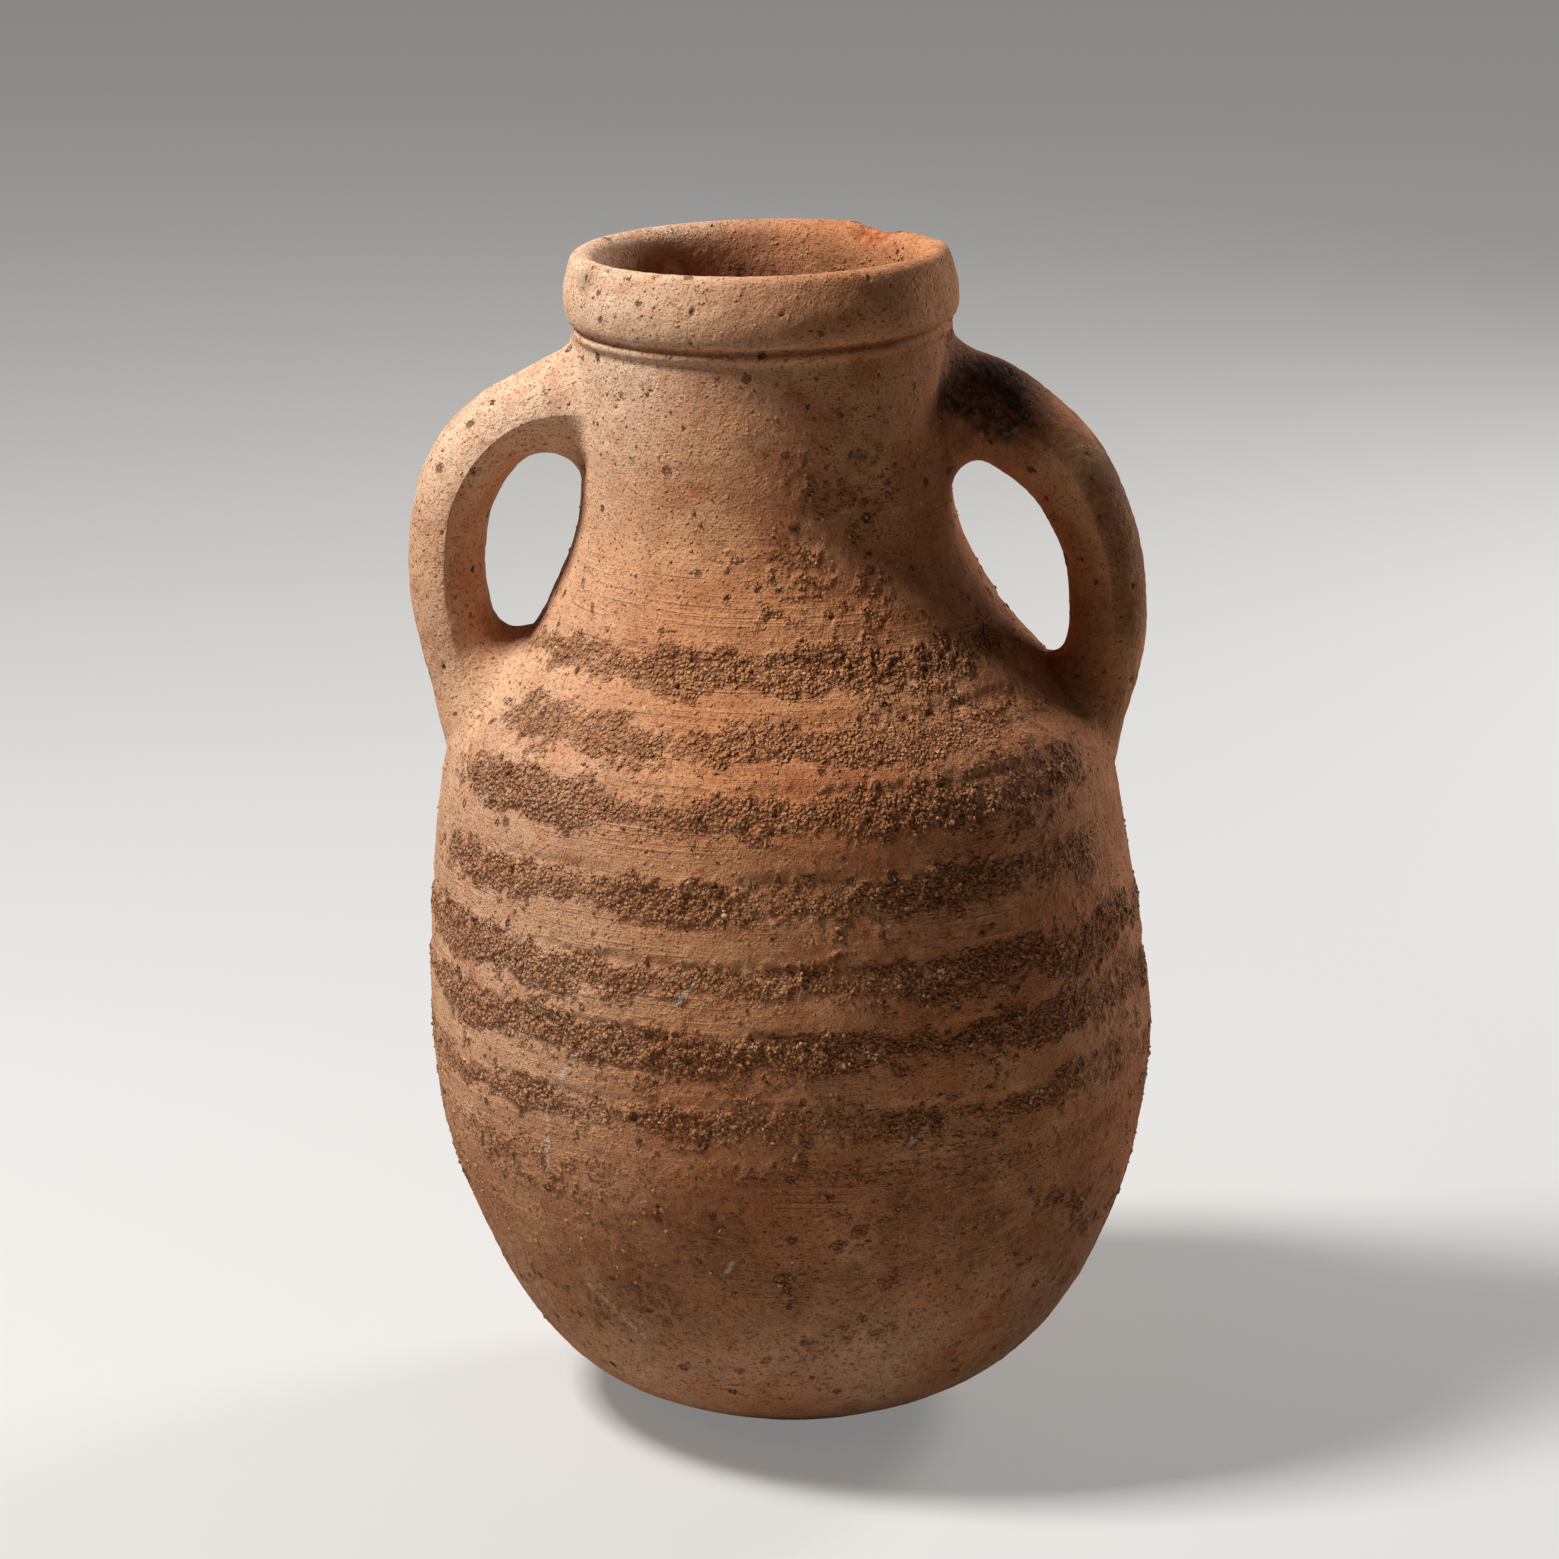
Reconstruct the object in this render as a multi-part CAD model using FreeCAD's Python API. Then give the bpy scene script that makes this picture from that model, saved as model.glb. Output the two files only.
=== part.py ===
"""Two-handled ceramic jar with a round base, a straight neck and a rolled collar at the mouth.

The jar is luted together from thrown and pulled pieces: a base bowl, a lower wall, an upper wall,
a shoulder, a neck, a rim collar, two strap handles, and a pad of luting clay round each handle's root.
Millimetres, +Z up. The origin is the centre of the flat spot that the jar rests on.
The mouth is up, and the handles stand at -X (left) and +X (right).
"""
import FreeCAD
import Part
import math
import os

Vector = FreeCAD.Vector
Y_AXIS = Vector(0, 1, 0)
Z_AXIS = Vector(0, 0, 1)

# Heights of the stacked pieces
base_bowl_height = 64.0
lower_wall_height = 54.0
upper_wall_height = 76.0
shoulder_height = 56.0
neck_height = 77.0
rim_height = 22.0

# Walls
wall = 7.5
base_wall = 10.0
neck_wall = 8.0

# Outer radii at the joints: the widest one, and how far the others stand in or out from a neighbour
resting_flat_radius = 24.0
belly_radius = 107.5
base_bowl_inset = 10.7
shoulder_foot_inset = 7.6
bore_radius = 46.0
neck_foot_spread = 9.6
collar_overhang = 2.8

# Ridges left by the fingers between the rough bands
ridge_height = 0.7

# Step under the collar, where the neck's clay was smoothed up to it
collar_step_height = 4.0
collar_step_rise = 1.2

# The jar above the belly joint leans towards -X, as it came off the wheel
lean_degrees = 2.3

# Chip in the lip at the back right
chip_radius = 9.0
chip_depth = 3.2
chip_azimuth_degrees = 46.0

# Handles: lens-shaped section, and how far each centre line's widest point stands in from the
# shoulder's foot, its top below the rim and its drop to the foot
handle_thickness = 22.8
handle_width = 34.0
left_inset = 4.1
left_top_below_rim = 21.5
left_foot_drop = 105.5
right_inset = 3.4
right_top_below_rim = 24.5
right_foot_drop = 109.5

# Luting pads at the handle roots: length up the strap, length sunk into the jar, growth of the section
pad_length = 22.0
pad_root_depth = 15.0
pad_flare = 7.0
pad_lip = 0.8

# Reach of cutting shapes past what they cut
overrun = 6.0

# Heights of the joints and the radii there
base_joint = base_bowl_height
belly_joint = base_joint + lower_wall_height
shoulder_joint = belly_joint + upper_wall_height
neck_joint = shoulder_joint + shoulder_height
rim_seat = neck_joint + neck_height
neck_radius = bore_radius + neck_wall
rim_radius = neck_radius + collar_overhang

# Outline of each course from its foot up: share of its height, share of the way from the radius at
# its foot to the radius at its top, and whether the point is in a rough band or on a ridge
BAND, RIDGE = 0.0, 1.0
base_bowl_shares = [
    (0.094, 0.304, BAND),
    (0.281, 0.607, BAND),
    (0.563, 0.817, BAND),
    (0.800, 0.932, BAND),
    (1.000, 1.000, BAND),
]
lower_wall_shares = [
    (0.185, 0.300, BAND),
    (0.363, 0.545, BAND),
    (0.541, 0.755, RIDGE),
    (0.717, 0.890, BAND),
    (0.857, 0.965, RIDGE),
    (1.000, 1.000, BAND),
]
upper_wall_shares = [
    (0.137, 0.020, RIDGE),
    (0.276, 0.092, BAND),
    (0.404, 0.197, RIDGE),
    (0.530, 0.342, BAND),
    (0.687, 0.553, RIDGE),
    (0.842, 0.776, BAND),
    (1.000, 1.000, RIDGE),
]
shoulder_shares = [
    (0.221, 0.080, BAND),
    (0.366, 0.225, RIDGE),
    (0.512, 0.420, BAND),
    (0.660, 0.630, RIDGE),
    (0.809, 0.810, BAND),
    (1.000, 1.000, BAND),
]
neck_shares = [
    (0.120, 0.480, BAND),
    (0.250, 0.830, BAND),
    (0.400, 0.990, BAND),
    (0.600, 1.010, BAND),
    (0.800, 1.000, BAND),
]

# Courses of the wall: name, height, radii at foot and top, outline
base_bowl_radius = belly_radius - base_bowl_inset
shoulder_foot_radius = belly_radius - shoulder_foot_inset
neck_foot_radius = neck_radius + neck_foot_spread
COURSES = [
    ("base_bowl", base_bowl_height, resting_flat_radius, base_bowl_radius, base_bowl_shares),
    ("lower_wall", lower_wall_height, base_bowl_radius, belly_radius, lower_wall_shares),
    ("upper_wall", upper_wall_height, belly_radius, shoulder_foot_radius, upper_wall_shares),
    ("shoulder", shoulder_height, shoulder_foot_radius, neck_foot_radius, shoulder_shares),
    ("neck", neck_height, neck_foot_radius, neck_radius, neck_shares),
]

# Rolled collar from its lower edge over the lip to the bore: share of the way from the bore radius
# to the rim radius, and share of the rim's height
rim_outline_shares = [
    (0.860, 0.035),
    (0.965, 0.130),
    (1.000, 0.320),
    (0.975, 0.560),
    (0.880, 0.800),
    (0.730, 0.945),
    (0.560, 1.000),
    (0.370, 0.955),
    (0.190, 0.820),
    (0.060, 0.640),
    (0.000, 0.450),
]

# Centre lines of the handles from inside the neck to inside the shoulder: share of the reach beyond
# the neck, and share of the way up from the foot to the top root
left_path_shares = [
    (-0.500, 1.000),
    (0.000, 1.000),
    (0.379, 0.990),
    (0.695, 0.904),
    (0.880, 0.790),
    (0.985, 0.640),
    (1.000, 0.490),
    (0.955, 0.385),
    (0.860, 0.271),
    (0.730, 0.145),
    (0.540, 0.060),
    (0.340, 0.022),
    (0.100, 0.000),
]
right_path_shares = [
    (-0.500, 1.000),
    (0.000, 1.000),
    (0.320, 0.969),
    (0.634, 0.879),
    (0.840, 0.750),
    (0.965, 0.590),
    (1.000, 0.440),
    (0.965, 0.330),
    (0.870, 0.235),
    (0.740, 0.145),
    (0.560, 0.065),
    (0.360, 0.022),
    (0.120, 0.000),
]


def lathe_point(radius, height):
    return Vector(radius, 0, height)


def line_chain(points):
    return [Part.makeLine(a, b) for a, b in zip(points, points[1:])]


def smooth_edge(points, start=None, end=None):
    """One spline edge through the points, with end directions where they are given."""
    curve = Part.BSplineCurve()
    if start is None:
        curve.interpolate(Points=points)
    else:
        curve.interpolate(Points=points, InitialTangent=start, FinalTangent=end)
    return curve.toShape()


def turned(edges):
    """Solid of revolution about the Z axis from a closed chain of edges."""
    face = Part.Face(Part.Wire(edges))
    return face.revolve(Vector(0, 0, 0), Z_AXIS, 360)


def wall_stations():
    """Height, smooth outer radius and ridge flag of every point on the outline below the rim."""
    stations = [(0.0, resting_flat_radius, BAND)]
    foot = 0.0
    for name, height, low_radius, high_radius, shares in COURSES:
        for up, out, ridge in shares:
            radius = low_radius + out * (high_radius - low_radius)
            stations.append((foot + up * height, radius, ridge))
        foot += height
    return stations


def outer_edges():
    """Outline of the wall's outside, from the resting flat up past the rim's seat."""
    points = [lathe_point(r + ridge * ridge_height, z) for z, r, ridge in wall_stations()]
    step_radius = neck_radius + collar_step_rise
    step_foot = lathe_point(neck_radius, rim_seat - collar_step_height - collar_step_rise)
    step_edge = lathe_point(step_radius, rim_seat - collar_step_height)
    step_top = lathe_point(step_radius, rim_seat + overrun)
    return [smooth_edge(points + [step_foot])] + line_chain([step_foot, step_edge, step_top])


def inner_edges():
    """Outline of the wall's inside from the top down: the smooth outline moved inwards by the wall."""
    stations = wall_stations()
    inside = []
    for below, here, above in zip(stations, stations[1:], stations[2:]):
        rise, run = above[0] - below[0], above[1] - below[1]
        length = math.hypot(rise, run)
        up_bowl = min(here[0] / base_joint, 1)
        thickness = base_wall + (wall - base_wall) * up_bowl
        point = lathe_point(here[1] - thickness * rise / length, here[0] + thickness * run / length)
        if base_wall < point.z < neck_joint:
            inside.append(point)
    throat_foot = lathe_point(bore_radius, neck_joint + neck_height / 2)
    throat_top = lathe_point(bore_radius, rim_seat + overrun)
    curve_points = [throat_foot] + inside[::-1] + [lathe_point(0, base_wall)]
    curve = smooth_edge(curve_points, Vector(0, 0, -1), Vector(-1, 0, 0))
    return [Part.makeLine(throat_top, throat_foot), curve]


def upright_wall():
    """The whole wall below the rim as one turned solid, before it leans."""
    top = rim_seat + overrun
    lip = [lathe_point(neck_radius + collar_step_rise, top), lathe_point(bore_radius, top)]
    floor = [lathe_point(0, base_wall), lathe_point(0, 0), lathe_point(resting_flat_radius, 0)]
    return turned(outer_edges() + line_chain(lip) + inner_edges() + line_chain(floor))


def upright_fill():
    """Everything inside the wall's outer surface, before it leans."""
    top = rim_seat + overrun
    closing = [
        lathe_point(neck_radius + collar_step_rise, top),
        lathe_point(0, top),
        lathe_point(0, 0),
        lathe_point(resting_flat_radius, 0),
    ]
    return turned(outer_edges() + line_chain(closing))


def leaning_frame(height):
    """Placement of a level plane of the leaning upper jar: the lean turns about the belly joint."""
    turn = FreeCAD.Rotation(Y_AXIS, -lean_degrees)
    up = turn.multVec(Vector(0, 0, height - belly_joint))
    return FreeCAD.Placement(Vector(0, 0, belly_joint) + up, turn)


def leaned(shape):
    """A shape of the upper jar, drawn upright, turned into its lean."""
    turn = leaning_frame(belly_joint)
    turned_shape = shape.copy()
    turned_shape.Placement = turn.multiply(FreeCAD.Placement(Vector(0, 0, -belly_joint), FreeCAD.Rotation()))
    return turned_shape


def slab(foot, top):
    """Everything between two heights."""
    side = 4 * belly_radius
    return Part.makeBox(side, side, top - foot, Vector(-side / 2, -side / 2, foot))


def wall_pieces():
    """Base bowl, lower wall, upper wall, shoulder and neck, parted at the level joints."""
    upright = upright_wall()
    pieces = {}
    foot = 0.0
    for name, height, low_radius, high_radius, shares in COURSES:
        top = foot + height
        if top <= belly_joint:
            pieces[name] = upright.common(slab(foot, top))
        elif foot <= belly_joint:
            piece = leaned(upright.common(slab(foot - overrun, top)))
            pieces[name] = piece.common(slab(belly_joint, rim_seat))
        else:
            pieces[name] = leaned(upright.common(slab(foot, top)))
        foot = top
    return pieces


def rim_collar():
    """Rolled collar with a straight bore, seated on the neck's top, with a chip in its lip."""
    band = rim_radius - bore_radius
    roll = [lathe_point(bore_radius + out * band, up * rim_height) for out, up in rim_outline_shares]
    bore_foot = lathe_point(bore_radius, 0)
    under_edge = lathe_point(roll[0].x - collar_step_rise, 0)
    edges = line_chain([bore_foot, under_edge, roll[0]]) + [smooth_edge(roll)]
    edges += line_chain([roll[-1], bore_foot])
    azimuth = math.radians(chip_azimuth_degrees)
    crest_radius = bore_radius + band / 2
    chip_height = rim_height - chip_depth + chip_radius
    centre = Vector(crest_radius * math.cos(azimuth), crest_radius * math.sin(azimuth), chip_height)
    collar = turned(edges).cut(Part.makeSphere(chip_radius, centre))
    collar.Placement = leaning_frame(rim_seat)
    return collar


class HandlePath:
    """Centre line of a handle in the XZ plane, from inside the neck to inside the shoulder."""

    def __init__(self, side, inset, top_below_rim, foot_drop, shares):
        reach = shoulder_foot_radius - inset - neck_radius
        top = rim_seat - top_below_rim
        points = []
        for out, up in shares:
            height = top - (1 - up) * foot_drop
            spot = Vector(side * (neck_radius + out * reach), 0, 0)
            points.append(leaning_frame(height).multVec(spot))
        self.curve = Part.BSplineCurve()
        self.curve.interpolate(Points=points)
        self.side = side

    def section(self, distance, growth=0.0):
        """Lens-shaped wire across the centre line at a distance along it."""
        step = self.curve.parameterAtDistance(distance, self.curve.FirstParameter)
        centre = self.curve.value(step)
        outward = self.curve.tangent(step)[0].cross(Y_AXIS) * self.side
        across = Y_AXIS * (handle_width / 2 + growth)
        through = outward * (handle_thickness / 2 + growth)
        outer = Part.Arc(centre - across, centre + through, centre + across)
        inner = Part.Arc(centre + across, centre - through, centre - across)
        return Part.Wire([outer.toShape(), inner.toShape()])

    def strap(self, count=15):
        """The pulled strap, running into the jar at both ends."""
        length = self.curve.length()
        sections = [self.section(length * k / (count - 1)) for k in range(count)]
        return Part.makeLoft(sections, True, False)

    def root_pad(self, surface, inward_sign, count=8):
        """Flared sleeve round the root whose wall crossing lies at the distance given by surface."""
        sections = []
        for k in range(count):
            share = k / (count - 1)
            beyond = share * (pad_length + pad_root_depth) - pad_length
            growth = pad_lip + (pad_flare - pad_lip) * share ** 2
            sections.append(self.section(surface + inward_sign * beyond, growth))
        return Part.makeLoft(sections, True, False)

    def wall_crossings(self, body):
        """Distances along the centre line at which it leaves the neck and meets the shoulder."""
        outside = Part.Wire([self.curve.toShape()]).cut(body)
        steps = sorted(self.curve.parameter(vertex.Point) for vertex in outside.Vertexes)
        start = self.curve.FirstParameter
        return self.curve.length(start, steps[0]), self.curve.length(start, steps[-1])


def largest(shape):
    """The biggest solid of a cut, without the ends left inside the jar."""
    return max(shape.Solids, key=lambda solid: solid.Volume)


def handle_parts(name, path, body):
    """Strap and its two luting pads, trimmed to the wall."""
    strap = path.strap()
    top, foot = path.wall_crossings(body)
    top_pad = path.root_pad(top, -1).cut(strap).cut(body)
    foot_pad = path.root_pad(foot, 1).cut(strap).cut(body)
    return {
        name + "_handle": largest(strap.cut(body)),
        name + "_handle_top_pad": largest(top_pad),
        name + "_handle_foot_pad": largest(foot_pad),
    }


def jar():
    """Every piece of the jar by name."""
    nodes = wall_pieces()
    nodes["rim_collar"] = rim_collar()
    body = leaned(upright_fill())
    left = HandlePath(-1, left_inset, left_top_below_rim, left_foot_drop, left_path_shares)
    right = HandlePath(1, right_inset, right_top_below_rim, right_foot_drop, right_path_shares)
    nodes.update(handle_parts("left", left, body))
    nodes.update(handle_parts("right", right, body))
    return nodes


os.makedirs("parts", exist_ok=True)
for node, shape in jar().items():
    solid = largest(shape)
    print(f"{node:24s} valid {solid.isValid()}  solids {len(shape.Solids)}  mm3 {solid.Volume:10.0f}")
    solid.exportStep(f"parts/{node}.step")
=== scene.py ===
# %% [markdown]
# # A ceramic amphora, finished by hand
# A fired clay storage jar with two handles. It was thrown on a wheel, leaned a little to its left before it
# was dry, and came out of the ground with sandy bands still stuck to its belly. The measured construction is
# loaded first and stays as it is. Every piece made below stands over one of its solids, so the jar keeps its
# real size, and only the skin of the clay is made again in more detail.

# %% Load the measured jar
import math
import bpy
import numpy as np
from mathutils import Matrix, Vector


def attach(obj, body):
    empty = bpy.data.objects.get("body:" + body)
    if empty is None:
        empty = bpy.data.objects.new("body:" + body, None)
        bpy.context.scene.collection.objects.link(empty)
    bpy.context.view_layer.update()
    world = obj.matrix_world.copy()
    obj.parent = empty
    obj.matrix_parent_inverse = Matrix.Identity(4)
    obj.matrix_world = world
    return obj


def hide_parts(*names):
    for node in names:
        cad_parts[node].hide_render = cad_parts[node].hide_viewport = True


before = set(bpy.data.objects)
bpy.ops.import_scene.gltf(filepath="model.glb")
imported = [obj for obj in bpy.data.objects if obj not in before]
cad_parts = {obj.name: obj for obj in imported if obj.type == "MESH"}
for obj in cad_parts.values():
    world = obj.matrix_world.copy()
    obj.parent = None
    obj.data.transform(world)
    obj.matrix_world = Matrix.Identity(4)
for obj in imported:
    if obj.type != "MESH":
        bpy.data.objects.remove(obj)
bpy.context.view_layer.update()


def placed(title, data):
    """A new object in the scene from a mesh, curve, lamp or camera."""
    made = bpy.data.objects.new(title, data)
    bpy.context.scene.collection.objects.link(made)
    return made


# %% [markdown]
# ## Lines drawn
# The outline is a short list of heights and widths, with a natural cubic line laid through them, the way a
# bent strip of wood goes round a few nails. Straight runs would show as facets in the soft light.

# %% A smooth line through a few points
MM = 0.001


def smooth_line(knots, values, at):
    """Natural cubic line: value at each place in at, passing through values at knots."""
    k = np.asarray(knots, float)
    v = np.asarray(values, float).reshape(len(k), -1)
    h = np.diff(k)
    count = len(k)
    matrix = np.eye(count)
    right = np.zeros_like(v)
    for i in range(1, count - 1):
        matrix[i, i - 1:i + 2] = h[i - 1], 2 * (h[i - 1] + h[i]), h[i]
        right[i] = 6 * ((v[i + 1] - v[i]) / h[i] - (v[i] - v[i - 1]) / h[i - 1])
    bend = np.linalg.solve(matrix, right)
    at = np.asarray(at, float)
    j = np.clip(np.searchsorted(k, at, "right") - 1, 0, count - 2)
    below = (at - k[j])[:, None]
    above = (k[j + 1] - at)[:, None]
    step = h[j][:, None]
    line = bend[j] * above ** 3 / (6 * step) + bend[j + 1] * below ** 3 / (6 * step)
    line += (v[j] / step - bend[j] * step / 6) * above + (v[j + 1] / step - bend[j + 1] * step / 6) * below
    return line


def lengths_along(line):
    """How far along a row of points each of them lies."""
    return np.r_[0, np.cumsum(np.hypot(*np.diff(line, axis=0).T))]


def points_at(places, run, line):
    """The points of a line at some places along it, where run says how far along its own points lie."""
    return np.c_[np.interp(places, run, line[:, 0]), np.interp(places, run, line[:, 1])]


def drawn(points, samples=6000):
    """A fine row of points on the smooth line through some pairs, evenly spread, and the line's length."""
    pairs = np.asarray(points, float)
    chord = lengths_along(pairs)
    fine = smooth_line(chord, pairs, np.linspace(0, chord[-1], samples))
    run = lengths_along(fine)
    return points_at(np.linspace(0, run[-1], samples), run, fine), run[-1]


def ramp(low, high, value):
    """0 below low, 1 above high, and an easy curve between."""
    t = np.clip((value - low) / (high - low), 0, 1)
    return t * t * (3 - 2 * t)


# %% The outside of the jar, from the foot to the throat
FOOT_TO_SHOULDER = [(2, 0), (12, 0), (20, 0), (25, 0.2), (34, 2.1), (46, 6), (68, 18), (83.5, 36), (90.2, 48),
                    (95.4, 60), (100.5, 75), (104.0, 90), (106.1, 105), (106.9, 120), (106.6, 135),
                    (105.6, 150), (104.3, 162), (102.6, 175), (101.2, 185), (99.6, 195), (96.6, 206),
                    (91.4, 215), (84, 223), (76.9, 231), (70.3, 239), (63.9, 250), (58, 262), (54.6, 275)]
NECK_AND_COLLAR = [(53.9, 290), (53.8, 305), (53.6, 316), (53.5, 322.4), (53.7, 324.3), (54.4, 325.1),
                   (54.9, 326.1), (54.6, 327.2), (53.7, 328.0), (53.8, 328.7), (55.2, 329.2), (56.4, 330.5),
                   (57.1, 333.4), (57.2, 336.4), (56.9, 339.6), (56.0, 343.3), (55.1, 346.4), (53.9, 348.5),
                   (52.2, 349.3), (50.3, 349.1), (48.7, 348.1), (47.5, 346.3), (46.8, 343.4), (46.4, 339),
                   (46.2, 334), (46.1, 330), (46.1, 327)]
outside, outside_length = drawn(FOOT_TO_SHOULDER + NECK_AND_COLLAR)
NECK_TOP = 327
SEAM_HEIGHTS = {"base_bowl": 64, "lower_wall": 118, "upper_wall": 194, "shoulder": 250, "neck": NECK_TOP}
print("length along the outside, mm:", round(outside_length, 1))

# %% Rows of the thrown skin
FLAT_RADIUS = 24
FLAT_STEP, FOOT_STEP, WALL_STEP, NECK_STEP = 3.0, 1.2, 0.85, 0.95


def seam_places(line, length):
    """How far along a drawn line it first reaches each seam's height."""
    return [np.argmax(line[:, 1] >= height) * length / (len(line) - 1) for height in SEAM_HEIGHTS.values()]


def rows_of(line, length, stops, steps):
    """Even steps between stops along a line: the row points, and the row number of each stop."""
    places, marks = [stops[0]], [0]
    for start, end, step in zip(stops[:-1], stops[1:], steps):
        count = max(2, round((end - start) / step))
        places += list(np.linspace(start, end, count + 1)[1:])
        marks.append(len(places) - 1)
    return points_at(places, np.linspace(0, length, len(line)), line), marks


outside_stops = [0, FLAT_RADIUS] + seam_places(outside, outside_length) + [outside_length]
outside_steps = [FLAT_STEP, FOOT_STEP] + [WALL_STEP] * 3 + [NECK_STEP, WALL_STEP]
outside_rows, outside_marks = rows_of(outside, outside_length, outside_stops, outside_steps)
print("rows outside:", len(outside_rows), "marks:", outside_marks)

# %% [markdown]
# ## The inside of the jar
# The wall is about 7.5 mm of clay, a little more in the foot, and the neck is a plain round throat. The
# inner line is the outer one moved in by that much, square to the wall, so the clay is equally thick on the
# steep shoulder and on the upright belly. It needs fewer rows, because little light gets in there.

# %% The inside line
WALL = 7.5
FOOT_EXTRA = 2.5
THROAT = 46.1
INSIDE_STEPS = [4.0, 3.5, 3.5, 3.0, 1.5]
wall_part = outside[:np.argmax(outside[:, 1] >= NECK_TOP - 0.1)]
direction = np.gradient(wall_part, axis=0)
direction /= np.hypot(*direction.T)[:, None]
thickness = WALL + FOOT_EXTRA * (1 - ramp(0, 34, wall_part[:, 1]))
inside = wall_part + np.c_[-direction[:, 1], direction[:, 0]] * thickness[:, None]
to_throat = ramp(268, 292, inside[:, 1])
inside[:, 0] = inside[:, 0] * (1 - to_throat) + THROAT * to_throat
inside = inside[inside[:, 0] > 2.5]
inside[-1] = THROAT, NECK_TOP
inside_length = np.hypot(*np.diff(inside, axis=0).T).sum()
inside_stops = [0] + seam_places(inside, inside_length)
inside_rows, inside_marks = rows_of(inside, inside_length, inside_stops, INSIDE_STEPS)
inside_rows[-1] = THROAT, NECK_TOP
print("rows inside:", len(inside_rows), "marks:", inside_marks)

# %% [markdown]
# ## Carrying an outline along a path
# On the wheel the outline is carried round a circle, and a handle is one section carried along a bent line,
# so one node tree does both: it takes a path, an outline drawn in another curve, and which way the outline's
# first axis looks. Spin would do for the wall alone, but not for the handles.

# %% The node tree that carries an outline


def new_tree(title, inputs):
    """An empty geometry tree with named inputs, and its two end nodes."""
    tree = bpy.data.node_groups.new(title, "GeometryNodeTree")
    tree.interface.new_socket("Geometry", in_out="INPUT", socket_type="NodeSocketGeometry")
    for label, kind in inputs:
        tree.interface.new_socket(label, in_out="INPUT", socket_type=kind)
    tree.interface.new_socket("Geometry", in_out="OUTPUT", socket_type="NodeSocketGeometry")
    return tree, tree.nodes.new("NodeGroupInput"), tree.nodes.new("NodeGroupOutput")


def add(tree, kind, fields=None):
    """Add one node: each field sets an option or a socket, or links a socket to a node or to its output."""
    node = tree.nodes.new(kind)
    for key, value in (fields or {}).items():
        if isinstance(value, bpy.types.Node):
            value = value.outputs[0]
        if isinstance(value, bpy.types.NodeSocket):
            tree.links.new(value, node.inputs[key])
        elif isinstance(key, int) or key in node.inputs:
            node.inputs[key].default_value = value
        else:
            setattr(node, key, value)
    return node


carry, start, end = new_tree("carry_outline_along_path", [
    ("Outline", "NodeSocketObject"), ("Up", "NodeSocketVector"), ("Clay", "NodeSocketMaterial")])
turned = add(carry, "GeometryNodeSetCurveNormal",
             {"mode": "FREE", "Curve": start.outputs["Geometry"], "Normal": start.outputs["Up"]})
section = add(carry, "GeometryNodeObjectInfo", {"Object": start.outputs["Outline"]})
skin = add(carry, "GeometryNodeCurveToMesh", {"Curve": turned, "Profile Curve": section.outputs["Geometry"]})
whole = add(carry, "GeometryNodeRealizeInstances", {"Geometry": skin})
covered = add(carry, "GeometryNodeSetMaterial", {"Geometry": whole, "Material": start.outputs["Clay"]})
carry.links.new(covered.outputs["Geometry"], end.inputs["Geometry"])
print("tree:", carry.name, "nodes:", len(carry.nodes))

# %% Use the tree on a path and an outline


def mesh_made_by(tree, holder, values):
    """The plain mesh that a geometry tree makes of an object, with the tree's inputs filled by name."""
    modifier = holder.modifiers.new(tree.name, "NODES")
    modifier.node_group = tree
    for item in tree.interface.items_tree:
        if item.in_out == "INPUT" and item.name in values:
            modifier[item.identifier] = values[item.name]
    bpy.context.view_layer.update()
    seen = holder.evaluated_get(bpy.context.evaluated_depsgraph_get())
    return bpy.data.meshes.new_from_object(seen)


def chain(title, points, closed):
    """A curve of straight runs through points given in metres."""
    curve = bpy.data.curves.new(title, "CURVE")
    curve.dimensions = "3D"
    spline = curve.splines.new("POLY")
    spline.points.add(len(points) - 1)
    spline.points.foreach_set("co", np.c_[points, np.ones(len(points))].ravel().astype(np.float32))
    spline.use_cyclic_u = closed
    return placed(title, curve)


def carried(path, closed_path, outline, closed_outline, up):
    """Grid of points in mm, one row per outline point, from an outline in mm carried along a path in mm."""
    path_curve = chain("path", np.asarray(path) * MM, closed_path)
    outline_curve = chain("outline", np.c_[outline, np.zeros(len(outline))] * MM, closed_outline)
    mesh = mesh_made_by(carry, path_curve, {"Outline": outline_curve, "Up": up})
    flat = np.empty(len(mesh.vertices) * 3, np.float32)
    mesh.vertices.foreach_get("co", flat)
    grid = flat.reshape(len(path), len(outline), 3).astype(float) / MM
    bpy.data.meshes.remove(mesh)
    for holder in (path_curve, outline_curve):
        bpy.data.curves.remove(holder.data)
    return grid


WHEEL = 50.0
COLUMNS = 896


def thrown(rows, columns):
    """A grid of (row, column) points: rows of (radius, height) carried round the wheel."""
    turn = np.linspace(0, 2 * np.pi, columns, endpoint=False)
    circle = np.c_[WHEEL * np.cos(turn), WHEEL * np.sin(turn), np.zeros(columns)]
    return carried(circle, True, np.c_[rows[:, 1], rows[:, 0] - WHEEL], False, (0, 0, 1)).transpose(1, 0, 2)


outer = thrown(outside_rows, COLUMNS)
inner = thrown(inside_rows, COLUMNS // 2)
print("outer skin:", outer.shape[:2], "inner skin:", inner.shape[:2])

# %% [markdown]
# ## Leaning and settling
# This jar leans to its left above the belly, its mouth dips to the left by a little over a degree, and it is
# slightly out of round. These slow changes are put on the grid before any roughness.

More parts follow.
